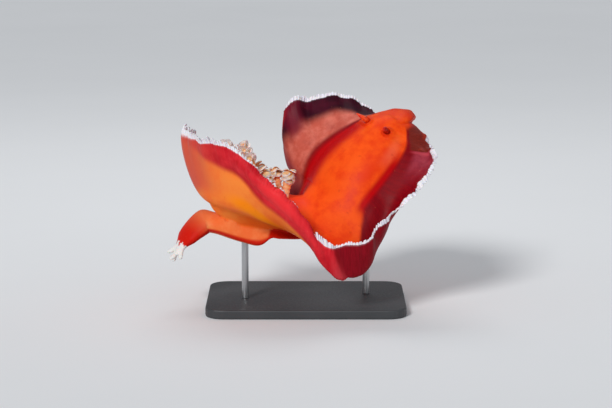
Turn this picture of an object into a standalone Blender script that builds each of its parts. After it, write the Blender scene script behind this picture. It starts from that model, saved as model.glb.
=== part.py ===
"""Spanish dancer, a large swimming sea slug, as a life-size still model on a small stand.

The pose is laid out as it is seen: every station below is (across, away, up) in
millimetres, looking slightly down on the animal from SIGHT_RANGE away. place() turns
such points into the upright world, whose origin is the middle of the stand's underside.

The back is a domed loaf along a bent spine. The mantle margin is one ring of sheet
around the loaf: at each angle it leaves the loaf's edge, passes through a belly point
and ends at a rim point. Angle 0 is the tail, 90 the right side, 180 the head and
270 the left side.
"""

import math
import random

import bmesh
import bpy
import numpy as np

MM = 0.001
SEED = 7
SHARP_ABOVE = math.radians(50.0)
MODEL = "spanish_dancer"
JOINING = "pieces_to_join"
GAP = 0.40  # between two parts that touch
END_GAP = 0.56  # between neighbours round the margin, whose ends are curved

SIGHT_TILT = math.radians(10.0)
SIGHT_RANGE = 1500.0
SIGHT_UP = 57.0
MOVE = np.array([0.0, -24.0, 24.0])  # from the pose's frame to the stand's

# Spine, tail first: across, away, up, then the direction of the right side,
# half width, height of the dome and depth of the keel.
SPINE = (
    (-72, 0, 62, 0.00, -0.97, -0.20, 22, 9, 13),
    (-45, 0, 59, 0.00, -0.96, -0.28, 26, 11, 17),
    (-18, 0, 52, 0.05, -0.94, -0.35, 28, 11, 12),
    (2, 0, 50, 0.20, -0.88, -0.45, 30, 12, 12),
    (17, 0, 59, 0.42, -0.76, -0.50, 32, 13, 13),
    (31, 0, 79, 0.62, -0.67, -0.42, 32, 14, 16),
    (54, 3, 105, 0.69, -0.62, -0.38, 28, 12, 16),
    (66, 5, 122, 0.71, -0.60, -0.36, 26, 10, 14),
)
END_POWER = 6  # how square the loaf's ends are
END_SHARE = 0.0016  # where its first section lies
DOME_POWER = 0.8
EDGE_HEIGHT = 3.6  # the loaf's upright edge, where the margin joins
KEEL_SHARE = 0.36  # the keel's half width over the loaf's
SECTION_ACROSS = 11
SECTION_LOW = (1.0, 0.8, 0.45, 0.0)  # from the edge in to the keel
BODY_CUTS = (0.30, 0.54, 0.80)
BODY_NAMES = ("back_rear", "back_middle", "back_front", "head")

# Mantle margin: angle, rim point, belly point.
RING = (
    (0, -91, 4, 115, -89, 3, 86),
    (28, -80, -32, 107, -73, -24, 80),
    (48, -58, -46, 101, -50, -38, 73),
    (64, -36, -54, 81, -31, -46, 60),
    (74, -14, -57, 64, -13, -48, 44),
    (80, 2, -56, 46, 2, -46, 28),
    (84, 9, -53, 34, 11, -43, 15),
    (88, 19, -49, 28, 22, -38, 6.5),
    (92, 32, -48, 30.5, 33, -35, 4.5),
    (96, 45, -47, 32, 45, -32, 11.5),
    (100, 57, -44, 45, 53, -28, 30),
    (103, 60.5, -41.5, 47.5, 56.5, -26.5, 38.5),
    (106, 65, -42, 53, 60, -25, 47),
    (116, 75, -42, 63, 70, -24, 64),
    (127, 87, -39, 77, 80, -21, 78),
    (137, 93, -33, 87, 86, -17, 87),
    (147, 95, -25, 97, 88, -10, 97),
    (154, 93, 0, 103, 88, -4, 106.5),
    (159, 90, 12, 105.5, 82, 5, 113.5),
    (163, 85, 23, 108.5, 77, 12, 118.5),
    (167, 84, 33, 112, 82, 18, 122.5),
    (172, 79, 43, 113, 78, 24, 126),
    (182, 68, 48, 112, 68, 29, 127),
    (196, 58, 52, 118, 58, 32, 125),
    (212, 44, 52, 128, 45, 34, 123),
    (226, 30, 52, 137, 32, 35, 122),
    (237, 16, 51, 140.5, 19, 36, 120),
    (243, 4.5, 53, 134.5, 8, 38, 115),
    (248, -7, 49, 137, 0, 37, 111),
    (256, -18, 51, 126, -9, 39, 100),
    (263, -15, 61, 106, -11, 43, 89),
    (271, -11, 70, 82, -8, 49, 77),
    (281, -16, 78, 60, -12, 54, 66),
    (296, -30, 74, 54, -26, 52, 60),
    (312, -52, 68, 68, -47, 50, 68),
    (328, -72, 52, 96, -68, 38, 80),
    (343, -85, 28, 112, -82, 22, 87),
)
ROOT_GAP = 0.45  # between the loaf's edge and the margin
STALK_GAP = 0.6  # under a stalk, whose root is curved like the body only roughly
PROFILE_OUT = 1.1  # how much the margin first follows the body's outward direction
PROFILE_REACH = 0.42
ROOT_THICK = 3.2
RIM_THICK = 1.3
RUFFLE = 0.9
RUFFLE_LENGTH = 15.0
RUFFLE_SECOND = (0.6, 1.73)  # a second wave's height and length over the first's
RIM_WEIGHT = 0.6  # how much the rim counts over the root when columns are spread
# Pieces of the skirt in order, each with the pieces of border outside it and the angle
# where each of those ends.
SECTORS = (
    ("tail_tip", (("tail_left", 347), ("tail_tip", 14))),
    ("tail_right", (("tail_right", 50),)),
    ("side_right", (("side_right", 77),)),
    ("fold_right", (("fold_rear", 90), ("fold_front", 103))),
    ("front_right", (("front_right", 140),)),
    ("front", (("front_corner", 163), ("front_left", 190))),
    ("petal_left", (("petal_front", 217), ("petal_rear", 243))),
    ("turn_left", (("turn_top", 261), ("turn_low", 278))),
    ("side_left", (("side_left_front", 299), ("side_left_rear", 320))),
)
BORDER_FROM = 0.62  # where the coloured border takes over from the skirt
FRINGE = 4.5  # the last of the way to the rim, which is all lobes
COLUMN_STEP = 5.3
SKIRT_ROWS = 4
BORDER_ROWS = 2

# Fringe lobes, one in the middle of each column of the border, or of every other one
# where the rim is drawn together. Each row is the way along the lobe over its length,
# half its width over the column's, and half its thickness.
LOBE_ROOM = 3.6
LOBE_SHAPE = ((0.0, 0.40, 0.50), (0.55, 0.44, 0.42), (1.0, 0.14, 0.26))
LOBE_SUNK = 1.3
LOBE_VARIES = 0.18
LOBE_CURL = 0.8  # tips lean to one face and the other in turn

# Gills: share of the spine, side, then the tip as seen.
GILLS = (
    (0.320, 2.0, -14.5, -6, 81),
    (0.300, -12.0, -26, 12, 82),
    (0.235, -12.0, -39, 14, 86),
    (0.180, 0.0, -60, 2, 98),
    (0.220, 12.0, -49, -15, 97),
    (0.270, 12.0, -33, -19, 82),
)
GILL_STALK = (2.6, 2.4, 2.4, 2.6, 2.8, 2.5, 1.8, 0.7)
GILL_FLAT = 0.8
GILL_FLAPS = 9
GILL_BARE = 0.55  # the share of the stalk below its flaps
FLAP_LENGTH = 8.2
FLAP_RISE = 0.75  # how far a flap leans to the stalk's tip
FLAP_TURN = 137.5  # degrees round the stalk from one flap to the next
# Each row is the way along the flap over its length, half width and half thickness.
FLAP_SHAPE = ((0.0, 1.1, 0.6), (0.6, 2.2, 0.5), (1.0, 0.9, 0.27))
PAPILLA = (0.27, 0.0)
PAPILLA_HEIGHTS = (1.5, 4.0, 6.0)
PAPILLA_RADII = (2.6, 2.2, 2.0, 1.1)

RHINOPHORE_SHARE = 0.92
RHINOPHORE_STEM = 3.2  # the upright foot of a rhinophore, before it leans over
# Side of the head, and which way it points.
RHINOPHORES = (
    ("left", -12.5, (-0.80, -0.25, 0.52)),
    ("right", 9.0, (-0.05, -0.97, 0.22)),
)
CLUB_FROM = 4.6  # where the ridged club starts on a rhinophore, and its tip
CLUB_TO = {"left": 12.0, "right": 8.5}
CLUB_WIDE = 2.1
CLUB_RIDGES = 5
CLUB_GROOVE = 0.6
STEM_HEIGHTS = (0.6, 3.0, CLUB_FROM)
STEM_RADII = (1.7, 1.7, 1.6, 1.5)
# The collar round a rhinophore's foot: radius and height.
SHEATH_PROFILE = ((2.15, 0.0), (2.2, 1.6), (2.7, 2.5), (3.3, 1.9), (4.4, 0.0))
SHEATH_AROUND = 16
MOUTH = (0.965, 0.0)
MOUTH_PATH = ((1.5, 0.5), (4.0, 2.0), (5.5, 3.0))  # away from the belly, and forward
MOUTH_RADII = (4.0, 3.8, 3.2, 1.6)
TENTACLE_SHARE = 0.945
TENTACLE_SIDE = 12.0
TENTACLE_REACH = (9.0, 5.0, 5.0)  # away from the belly, forward and to its side
TENTACLE_RADII = (3.2, 3.2, 4.4, 4.8, 2.8)
TENTACLE_FLAT = 0.35
TENTACLE_LOBES = 5
TENTACLE_LOBE = 4.2
TENTACLE_FAN = (1.1, 2.6, 1.6)  # how far the lobes lean apart, their spread and drop
# Each row is the way along the lobe, half width and half thickness.
ORAL_SHAPE = ((0.0, 0.9, 0.7), (0.6, 0.85, 0.6), (1.0, 0.35, 0.3))

# Foot: share of the spine against half width and thickness, then the free tail beyond
# the body: across, away, up, right side, half width, thickness.
FOOT_FRONT = 0.95
FOOT_REAR = 0.09
FOOT_KEYS = (0.0, 0.16, 0.31, 0.43, 0.52, 0.7, 0.95)
FOOT_SIZES = ((15, 12), (17, 13), (16, 9), (11, 5), (11, 5), (14, 6), (11, 4))
ARM = (
    (-77, 9, 48, 0.0, -0.85, -0.5, 12, 11),
    (-85, 9, 43.5, 0.0, -0.75, -0.65, 10, 9),
    (-92, 8, 36, 0.0, -0.70, -0.70, 8, 7),
    (-97, 7, 27, 0.0, -0.70, -0.70, 6, 5),
)
# Outline of the foot across: sideways over half width, down over thickness.
FOOT_OUTLINE = (
    (-0.97, 0.70), (-0.74, 0.36), (-0.46, 0.0), (0.0, 0.0), (0.46, 0.0), (0.74, 0.36),
    (0.97, 0.70), (1.0, 0.84), (0.90, 0.97), (0.55, 1.0), (0.0, 1.0), (-0.55, 1.0),
    (-0.90, 0.97), (-1.0, 0.84),
)
FOOT_STATIONS = 34
TAIL_STATIONS = 12
FOOT_CUTS = (0.62, 0.36, 0.11)
FOOT_NAMES = ("foot_front", "foot_middle", "foot_rear", "foot_tail")
# White lobes round the end of the foot's tail: place across it over its half width, how
# far each swings sideways, its rise and its length.
TAIL_LOBES = (
    (-0.62, -0.75, 0.2, 8.0), (-0.15, -0.2, -0.2, 10.0), (0.3, 0.3, 0.2, 10.5),
    (0.68, 0.85, -0.1, 8.0),
)
TAIL_LOBE_SHAPE = ((0.0, 1.9, 1.5), (0.35, 2.3, 1.6), (0.75, 2.0, 1.4), (1.0, 0.9, 0.7))
TAIL_LOBE_SUNK = 2.5

STAND_BASE = (150.0, 104.0)
STAND_CORNER = 14.0
STAND_THICK = 7.0
STAND_BEVEL = 1.2
ROD_RADIUS = 2.6
ROD_AROUND = 16
STAND_RODS = (("stand_rod_rear", 0.20), ("stand_rod_front", 0.72))

# Colour, roughness and metallic of each look.
LOOKS = {
    "mantle_back": ((0.90, 0.16, 0.03), 0.45, 0.0),
    "mantle_skirt": ((0.80, 0.14, 0.05), 0.45, 0.0),
    "mantle_border": ((0.55, 0.04, 0.06), 0.45, 0.0),
    "foot": ((0.92, 0.26, 0.08), 0.45, 0.0),
    "gill": ((0.93, 0.50, 0.30), 0.45, 0.0),
    "rhinophore": ((0.85, 0.12, 0.03), 0.45, 0.0),
    "oral": ((0.86, 0.22, 0.08), 0.45, 0.0),
    "stand": ((0.30, 0.31, 0.33), 0.4, 0.0),
    "rod": ((0.60, 0.61, 0.62), 0.3, 1.0),
}


def place(points):
    """As seen, to the pose's own frame: farther points spread so that they still line up."""
    p = np.asarray(points, float)
    spread = (SIGHT_RANGE + p[..., 1]) / SIGHT_RANGE
    return np.stack(
        [p[..., 0] * spread, p[..., 1], SIGHT_UP + (p[..., 2] - SIGHT_UP) * spread],
        axis=-1,
    )


def to_world(points):
    """The pose's frame tipped back upright, in millimetres from the stand's underside."""
    p = np.asarray(points, float)
    c, s = math.cos(SIGHT_TILT), math.sin(SIGHT_TILT)
    y = p[..., 1] * c + p[..., 2] * s
    z = p[..., 2] * c - p[..., 1] * s
    return np.stack([p[..., 0], y, z], axis=-1) + MOVE


def unit(v):
    return v / np.maximum(np.linalg.norm(v, axis=-1, keepdims=True), 1e-9)


def smooth(t):
    t = np.clip(t, 0.0, 1.0)
    return t * t * (3.0 - 2.0 * t)


def through(keys, values, at):
    """A smooth curve through values at keys, read at each of the numbers in at."""
    keys = np.asarray(keys, float)
    values = np.asarray(values, float)
    steps = np.diff(keys)
    slopes = np.diff(values, axis=0) / steps[:, None]
    tangents = np.empty_like(values)
    tangents[0] = slopes[0]
    tangents[-1] = slopes[-1]
    before, after = steps[:-1, None], steps[1:, None]
    tangents[1:-1] = (slopes[:-1] * after + slopes[1:] * before) / (before + after)
    at = np.asarray(at, float)
    i = np.clip(np.searchsorted(keys, at, side="right") - 1, 0, len(keys) - 2)
    h = steps[i][..., None]
    t = ((at - keys[i]) / steps[i])[..., None]
    return (
        values[i] * (2 * t**3 - 3 * t**2 + 1)
        + tangents[i] * h * (t**3 - 2 * t**2 + t)
        + values[i + 1] * (3 * t**2 - 2 * t**3)
        + tangents[i + 1] * h * (t**3 - t**2)
    )


SPINE_NUMBERS = np.array(SPINE, float)
SPINE_POINTS = place(SPINE_NUMBERS[:, :3])
SPINE_RUN = np.concatenate(
    [[0.0], np.cumsum(np.linalg.norm(np.diff(SPINE_POINTS, axis=0), axis=1))]
)
BODY_LENGTH = SPINE_RUN[-1]
SPINE_KEYS = SPINE_RUN / BODY_LENGTH


def frames(share):
    """Centre, forward, right and up (dorsal) along the spine, 0 at the tail, 1 at the head."""
    share = np.asarray(share, float)
    centre = through(SPINE_KEYS, SPINE_POINTS, share)
    ahead = through(SPINE_KEYS, SPINE_POINTS, np.clip(share + 0.004, 0, 1))
    behind = through(SPINE_KEYS, SPINE_POINTS, np.clip(share - 0.004, 0, 1))
    forward = unit(ahead - behind)
    hint = through(SPINE_KEYS, SPINE_NUMBERS[:, 3:6], share)
    right = unit(hint - (hint * forward).sum(-1, keepdims=True) * forward)
    return centre, forward, right, np.cross(right, forward)


def girth(share):
    """Half width, dome height and keel depth, all closing toward the ends."""
    share = np.asarray(share, float)
    end = np.sqrt(np.clip(1.0 - np.abs(2.0 * share - 1.0) ** END_POWER, 0.0, 1.0))
    sizes = through(SPINE_KEYS, SPINE_NUMBERS[:, 6:9], share)
    return sizes[..., 0] * end, sizes[..., 1] * end, sizes[..., 2], end


def loop(angle):
    """The loaf's edge at an angle in degrees: point, outward direction and dorsal direction."""
    a = np.radians(np.asarray(angle, float))

    def flat(b):
        share = 0.5 - 0.5 * np.cos(b)
        return share, girth(share)[0] * np.sign(np.sin(b))

    share, side = flat(a)
    ahead, behind = flat(a + 0.01), flat(a - 0.01)
    along = (ahead[0] - behind[0]) * BODY_LENGTH
    aside = ahead[1] - behind[1]
    size = np.hypot(along, aside)
    centre, forward, right, dorsal = frames(share)
    out = forward * (-aside / size)[..., None] + right * (along / size)[..., None]
    edge = centre + right * side[..., None] - dorsal * (EDGE_HEIGHT / 2)
    return edge + out * ROOT_GAP, out, dorsal


RING_NUMBERS = np.array(RING, float)


def ring_at(angle):
    """Rim and belly points at each angle, joined smoothly all the way round."""
    table = RING_NUMBERS
    turned_back = table[-4:].copy()
    turned_on = table[:4].copy()
    turned_back[:, 0] -= 360.0
    turned_on[:, 0] += 360.0
    table = np.concatenate([turned_back, table, turned_on])
    got = through(table[:, 0], table[:, 1:], np.mod(angle, 360.0))
    return place(got[..., :3]), place(got[..., 3:])


def margin_lines(angle):
    """The four Bezier points of the margin's profile at each angle."""
    root, out, dorsal = loop(angle)
    rim, belly = ring_at(angle)
    free = 2.0 * belly - (root + rim) / 2.0 - root
    reach = np.linalg.norm(free, axis=-1, keepdims=True)
    first = root + unit(unit(free) + PROFILE_OUT * out) * reach * PROFILE_REACH
    second = (8.0 * belly - root - rim - 3.0 * first) / 3.0
    return root, first, second, rim, dorsal


def margin(angle, share):
    """Middle surface of the margin, its dorsal normal and half thickness.

    angle is a list of degrees, share a list from 0 at the root to 1 at the rim.
    """
    angle = np.asarray(angle, float)
    share = np.asarray(share, float)

    def surface(a, v):
        p0, p1, p2, p3, _ = margin_lines(a)
        v = v[None, :, None]
        u = 1.0 - v
        return (
            p0[:, None] * u**3
            + 3 * p1[:, None] * u**2 * v
            + 3 * p2[:, None] * u * v**2
            + p3[:, None] * v**3
        )

    fine = np.linspace(0.0, 1.0, 41)

    def at_shares(a, v):
        """Points at even shares of each profile's length, up to where the fringe starts."""
        lines = surface(a, fine)
        steps = np.linalg.norm(np.diff(lines, axis=1), axis=2)
        runs = np.concatenate([np.zeros((len(a), 1)), np.cumsum(steps, axis=1)], axis=1)
        rows = []
        for line, run in zip(lines, runs):
            wanted = v * (run[-1] - FRINGE)
            rows.append(np.stack([np.interp(wanted, run, line[:, k]) for k in range(3)], -1))
        return np.array(rows)

    middle = at_shares(angle, share)
    round_way = at_shares(angle + 0.3, share) - at_shares(angle - 0.3, share)
    near, far = np.clip(share - 0.03, 0, None), share + 0.03
    out_way = at_shares(angle, far) - at_shares(angle, near)
    normal = unit(np.cross(out_way, round_way))
    dorsal = loop(angle)[2][:, None, :]
    blend = smooth(share / 0.2)[None, :, None]
    normal = unit(dorsal * (1.0 - blend) + normal * blend)
    run = rim_run(angle)
    height, length = RUFFLE_SECOND
    wave = np.sin(run * 2 * math.pi / RUFFLE_LENGTH) + height * np.sin(
        run * 2 * math.pi / (RUFFLE_LENGTH * length) + 1.0
    )
    middle = middle + normal * (RUFFLE * wave[:, None] * share**3)[..., None]
    half = 0.5 * (ROOT_THICK + (RIM_THICK - ROOT_THICK) * share) * np.ones_like(wave)[:, None]
    return middle, normal, half, unit(round_way), unit(out_way)


FINE_ANGLES = np.linspace(0.0, 360.0, 1441)


def ring_lengths():
    """Length along the rim, and along rim and root together, at each fine angle."""
    rim = ring_at(FINE_ANGLES)[0]
    root = loop(FINE_ANGLES)[0]
    rim_steps = np.linalg.norm(np.diff(rim, axis=0), axis=1)
    root_steps = np.linalg.norm(np.diff(root, axis=0), axis=1)
    rim_sum = np.concatenate([[0.0], np.cumsum(rim_steps)])
    steps = RIM_WEIGHT * rim_steps + (1.0 - RIM_WEIGHT) * root_steps
    both = np.concatenate([[0.0], np.cumsum(steps)])
    return rim_sum, both


RIM_SUM, BOTH_SUM = ring_lengths()
RIM_LENGTH = RIM_SUM[-1]


def rim_run(angle):
    """Distance along the rim, scaled so that whole waves fit round it."""
    run = np.interp(np.mod(angle, 360.0), FINE_ANGLES, RIM_SUM)
    waves = round(RIM_LENGTH / RUFFLE_LENGTH)
    return run / RIM_LENGTH * waves * RUFFLE_LENGTH


def columns(start, end, step):
    """Angles from start to end, evenly spaced along the sheet."""
    turns = 360.0 if end < start else 0.0
    total = BOTH_SUM[-1]
    lo = np.interp(start, FINE_ANGLES, BOTH_SUM)
    hi = np.interp(end, FINE_ANGLES, BOTH_SUM) + (total if turns else 0.0)
    count = max(3, round((hi - lo) / step))
    spots = np.mod(np.linspace(lo, hi, count + 1), total)
    return np.interp(spots, BOTH_SUM, FINE_ANGLES)


def clear_scene():
    for thing in list(bpy.data.objects):
        bpy.data.objects.remove(thing, do_unlink=True)


def collection(name):
    made = bpy.data.collections.get(name)
    if made is None:
        made = bpy.data.collections.new(name)
        bpy.context.scene.collection.children.link(made)
    return made


def material(name):
    made = bpy.data.materials.get(name)
    if made:
        return made
    colour, roughness, metallic = LOOKS[name]
    made = bpy.data.materials.new(name)
    made.use_nodes = True
    shader = made.node_tree.nodes["Principled BSDF"]
    shader.inputs["Base Color"].default_value = (*colour, 1.0)
    shader.inputs["Roughness"].default_value = roughness
    shader.inputs["Metallic"].default_value = metallic
    made.diffuse_color = (*colour, 1.0)
    return made


def mesh_object(name, points_mm, faces, look, group=MODEL):
    """A closed mesh of triangles, all wound one way round, turned to face outward."""
    points = np.asarray(points_mm, float)
    faces = np.asarray(faces, int)
    corners = points[faces]
    if np.linalg.det(corners - points.mean(axis=0)).sum() < 0:
        faces = faces[:, ::-1]
    mesh = bpy.data.meshes.new(name)
    mesh.from_pydata((points * MM).tolist(), [], faces.tolist())
    made = bpy.data.objects.new(name, mesh)
    collection(group).objects.link(made)
    mesh.materials.append(look)
    smooth_shade(mesh)
    return made


def smooth_shade(mesh):
    mesh.shade_smooth()
    mesh.set_sharp_from_angle(angle=SHARP_ABOVE)


def fuse(host, pieces):
    """Join closed pieces into host by one union and keep the largest closed surface.

    pieces holds (points, faces) for each piece, rooted inside host.
    """
    look = host.data.materials[0]
    for i, (points, faces) in enumerate(pieces):
        mesh_object(f"{host.name}_piece_{i}", points, faces, look, JOINING)
    union = host.modifiers.new("union", "BOOLEAN")
    union.operation = "UNION"
    union.operand_type = "COLLECTION"
    union.collection = collection(JOINING)
    union.solver = "MANIFOLD"
    graph = bpy.context.evaluated_depsgraph_get()
    joined = bpy.data.meshes.new_from_object(host.evaluated_get(graph))
    host.modifiers.remove(union)
    old = host.data
    host.data = joined
    joined.name = host.name
    bpy.data.meshes.remove(old)
    for piece in list(collection(JOINING).objects):
        bpy.data.objects.remove(piece, do_unlink=True)
    keep_largest(joined)


def keep_largest(mesh):
    """Drop every closed surface of a mesh but the one with the most faces."""
    work = bmesh.new()
    work.from_mesh(mesh)
    left = set(work.verts)
    groups = []
    while left:
        found = {left.pop()}
        edge_of = list(found)
        while edge_of:
            vert = edge_of.pop()
            for edge in vert.link_edges:
                other = edge.other_vert(vert)
                if other not in found:
                    found.add(other)
                    edge_of.append(other)
        left -= found
        groups.append(found)
    groups.sort(key=len)
    for group in groups[:-1]:
        bmesh.ops.delete(work, geom=list(group), context="VERTS")
    work.to_mesh(mesh)
    work.free()


def blade(root, way, across, shape, length, sunk, room=1.0, curl=0.0):
    """A flat tapered lobe of four sides that starts sunk below root and follows way.

    shape holds (share of the length, half width, half thickness), and curl bends the tip
    toward the blade's own face.
    """
    way = unit(way)
    across = unit(across - (across @ way) * way)
    face = np.cross(way, across)
    rings = []
    for k, (share, half, thick) in enumerate(shape):
        spot = root + way * (length * share if k else -sunk) + face * (curl * share**2)
        side, deep = across * half * room, face * thick
        rings.append([spot + side, spot + deep, spot - side, spot - deep])
    return rings_closed(rings)


def rings_closed(rings):
    """A loft whose flat ends take two triangles each, for rings of four points."""
    rings = np.asarray(rings)
    last = 4 * (len(rings) - 1)
    faces = [(0, 2, 1), (0, 3, 2), (last, last + 1, last + 2), (last, last + 2, last + 3)]
    for i in range(len(rings) - 1):
        for j in range(4):
            a, b = 4 * i + j, 4 * i + (j + 1) % 4
            faces += [(a, b, b + 4), (a, b + 4, a + 4)]
    return rings.reshape(-1, 3), faces


def slab(top, bottom):
    """Points and triangles of a closed slab between two grids of the same shape."""
    rows, cols = top.shape[:2]
    points = np.concatenate([top.reshape(-1, 3), bottom.reshape(-1, 3)])
    under = rows * cols
    faces = []

    def at(i, j):
        return i * cols + j

    for i in range(rows - 1):
        for j in range(cols - 1):
            a, b, c, d = at(i, j), at(i + 1, j), at(i + 1, j + 1), at(i, j + 1)
            faces += [(a, b, c), (a, c, d)]
            faces += [(under + a, under + c, under + b), (under + a, under + d, under + c)]
    # Walls that face each other across a gap are split along the same diagonal.
    left = [at(i, 0) for i in range(rows)]
    last = [at(rows - 1, j) for j in range(cols)]
    right = [at(i, cols - 1) for i in range(rows - 1, -1, -1)]
    first = [at(0, j) for j in range(cols - 1, -1, -1)]
    for line, turned in ((left, False), (last, False), (right, True), (first, True)):
        for a, b in zip(line, line[1:]):
            c, d = under + a, under + b
            faces += [(a, c, b), (c, d, b)] if turned else [(a, c, d), (a, d, b)]
    return points, faces


def loft(sections):
    """Points and faces of a closed loft: equal rings of points, capped at both ends."""
    rings = np.asarray(sections)
    count, around = rings.shape[:2]
    faces = []
    for i in range(count - 1):
        for j in range(around):
            k = (j + 1) % around
            a, b = i * around + j, i * around + k
            c, d = (i + 1) * around + k, (i + 1) * around + j
            faces += [(a, b, c), (a, c, d)]
    points = rings.reshape(-1, 3)
    middles = rings[[0, -1]].mean(axis=1)
    first, last = len(points), len(points) + 1
    end = (count - 1) * around
    for j in range(around):
        k = (j + 1) % around
        faces += [(first, k, j), (last, end + j, end + k)]
    return np.concatenate([points, middles]), faces


def body_section(share):
    """The loaf's outline across the spine at one share, as a ring of points."""
    wide, dome, keel, end = (float(v) for v in girth(share))
    centre, _, right, dorsal = frames(share)
    across = np.sin(np.linspace(-math.pi / 2, math.pi / 2, SECTION_ACROSS))
    top = [(wide * a, dome * max(0.0, 1 - a * a) ** DOME_POWER) for a in across]
    foot = KEEL_SHARE * wide
    depth = EDGE_HEIGHT + (keel - EDGE_HEIGHT) * smooth(end * 1.05)
    low = []
    for a in SECTION_LOW:
        side = foot + (wide - foot) * a
        low.append((side, -EDGE_HEIGHT - (depth - EDGE_HEIGHT) * (1 - a) ** 1.5))
    under = low + [(-y, z) for y, z in reversed(low)]
    ring = top + under
    return np.array([centre + right * y + dorsal * z for y, z in ring])


def make_body():
    look = material("mantle_back")
    half_gap = GAP / 2 / BODY_LENGTH
    ends = [END_SHARE, *BODY_CUTS, 1.0 - END_SHARE]
    for i, name in enumerate(BODY_NAMES):
        lo = ends[i] + (half_gap if i else 0.0)
        hi = ends[i + 1] - (half_gap if i < len(BODY_NAMES) - 1 else 0.0)
        spots = np.linspace(lo, hi, 10)
        if i == 0:
            spots = lo + (hi - lo) * np.linspace(0, 1, 13) ** 1.8
        if i == len(BODY_NAMES) - 1:
            spots = hi - (hi - lo) * np.linspace(1, 0, 11) ** 1.8
        points, faces = loft([body_section(s) for s in spots])
        mesh_object(name, to_world(points), faces, look)


def make_margin(random_source):
    skirt = material("mantle_skirt")
    border = material("mantle_border")
    start = SECTORS[-1][1][-1][1]
    for name, outer in SECTORS:
        all_spots = []
        for border_name, end in outer:
            spots = columns(start, end, COLUMN_STEP)
            points, faces = margin_slab(spots, BORDER_FROM, 1.0, BORDER_ROWS)
            piece = mesh_object(f"border_{border_name}", to_world(points), faces, border)
            fuse(piece, fringe_lobes(spots, random_source))
            all_spots += list(spots[1:] if all_spots else spots)
            start = end
        points, faces = margin_slab(np.array(all_spots), 0.0, BORDER_FROM, SKIRT_ROWS)
        mesh_object(f"skirt_{name}", to_world(points), faces, skirt)


def fringe_lobes(spots, random_source):
    """Lobes along the rim of one piece of border."""
    turned = spots + 360.0 * (spots < spots[0])
    centres = (turned[1:] + turned[:-1]) / 2
    out_way = margin(centres, np.array([1.0]))[4][:, 0]
    rim = margin(turned, np.array([1.0]))[0][:, 0]
    lobes = []
    for i in range(len(centres)):
        across = rim[i + 1] - rim[i]
        across -= (across @ out_way[i]) * out_way[i]
        room = np.linalg.norm(across)
        length = FRINGE * (1.0 + random_source.uniform(-LOBE_VARIES, LOBE_VARIES))
        if room < LOBE_ROOM and (i % 2 == 0 or i == len(centres) - 1):
            continue
        curl = LOBE_CURL * (1 if len(lobes) % 2 else -1)
        root = (rim[i] + rim[i + 1]) / 2
        points, faces = blade(root, out_way[i], across, LOBE_SHAPE, length, LOBE_SUNK, room, curl)
        lobes.append((to_world(points), faces))
    return lobes


def margin_slab(spots, lo, hi, rows):
    """A closed piece of the margin that stops half a gap short of its neighbours."""
    middle, normal, half, round_way, out_way = margin(spots, np.linspace(lo, hi, rows + 1))
    across_sector = unit(np.cross(out_way, normal))
    across_sector *= np.sign((across_sector * round_way).sum(-1, keepdims=True))
    across_rows = unit(np.cross(round_way, normal))
    across_rows *= np.sign((across_rows * out_way).sum(-1, keepdims=True))
    middle[0] += across_sector[0] * END_GAP / 2
    middle[-1] -= across_sector[-1] * END_GAP / 2
    if lo > 0.0:
        middle[:, 0] += across_rows[:, 0] * GAP / 2
    if hi < 1.0:
        middle[:, -1] -= across_rows[:, -1] * GAP / 2
    return slab(middle + normal * half[..., None], middle - normal * half[..., None])


def dorsum(share, side):
    """A point on the loaf's back and the dorsal direction there."""
    share, side = float(share), float(side)
    wide, dome, _, _ = (float(v) for v in girth(share))
    centre, _, right, dorsal = frames(share)
    rise = dome * max(0.0, 1 - (side / wide) ** 2) ** DOME_POWER
    return centre + right * side + dorsal * rise, dorsal


def underside(share, side):
    """A point on the loaf's underside and the direction away from it."""
    share, side = float(share), float(side)
    wide, _, keel, end = (float(v) for v in girth(share))
    centre, _, right, dorsal = frames(share)
    foot = KEEL_SHARE * wide
    depth = EDGE_HEIGHT + (keel - EDGE_HEIGHT) * float(smooth(end * 1.05))
    a = min(1.0, max(0.0, (abs(side) - foot) / (wide - foot)))
    drop = EDGE_HEIGHT + (depth - EDGE_HEIGHT) * (1 - a) ** 1.5
    return centre + right * side - dorsal * drop, -dorsal


def tube(surface, share, side, path, radii, around=8, flat=1.0):
    """A stalk whose first ring lies on the body and whose others follow path."""
    _, forward, right, _ = frames(share)
    path = np.asarray(path, float)
    turns = np.arange(around) * 2 * math.pi / around
    first = []
    for t in turns:
        at, away = surface(
            share + math.cos(t) * radii[0] / BODY_LENGTH, side + math.sin(t) * radii[0]
        )
        first.append(at + away * STALK_GAP)
    rings = [np.array(first)]
    x_way, y_way = forward, right
    for k, spot in enumerate(path):
        way = unit(path[min(k + 1, len(path) - 1)] - path[max(k - 1, 0)])
        if k == 0:
            way = unit(path[1] - path[0]) if len(path) > 1 else unit(spot - first[0])
        x_way = unit(x_way - (x_way @ way) * way)
        y_way = np.cross(way, x_way) * (1 if np.cross(way, x_way) @ y_way > 0 else -1)
        r = radii[k + 1]
        rings.append(
            np.array([spot + r * (math.cos(t) * x_way + flat * math.sin(t) * y_way) for t in turns])
        )
    return loft(rings)


def bow(start, end, bend, count):
    """Points from start to end on a curve that bulges by the vector bend."""
    t = np.linspace(0, 1, count)[:, None]
    return start * (1 - t) + end * t + bend * 4 * t * (1 - t)


def make_gills(random_source):
    look = material("gill")
    middle = np.mean([dorsum(g[0], g[1])[0] for g in GILLS], axis=0)
    for i, (share, side, across, away, up) in enumerate(GILLS):
        base, out = dorsum(share, side)
        tip = place((across, away, up))
        path = bow(base + out * 2.0, tip, out * 3.0, len(GILL_STALK) - 1)
        points, faces = tube(dorsum, share, side, path, GILL_STALK, 6, GILL_FLAT)
        piece = mesh_object(f"gill_{i + 1}", to_world(points), faces, look)
        fuse(piece, gill_flaps(path, base - middle, random_source))


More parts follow.
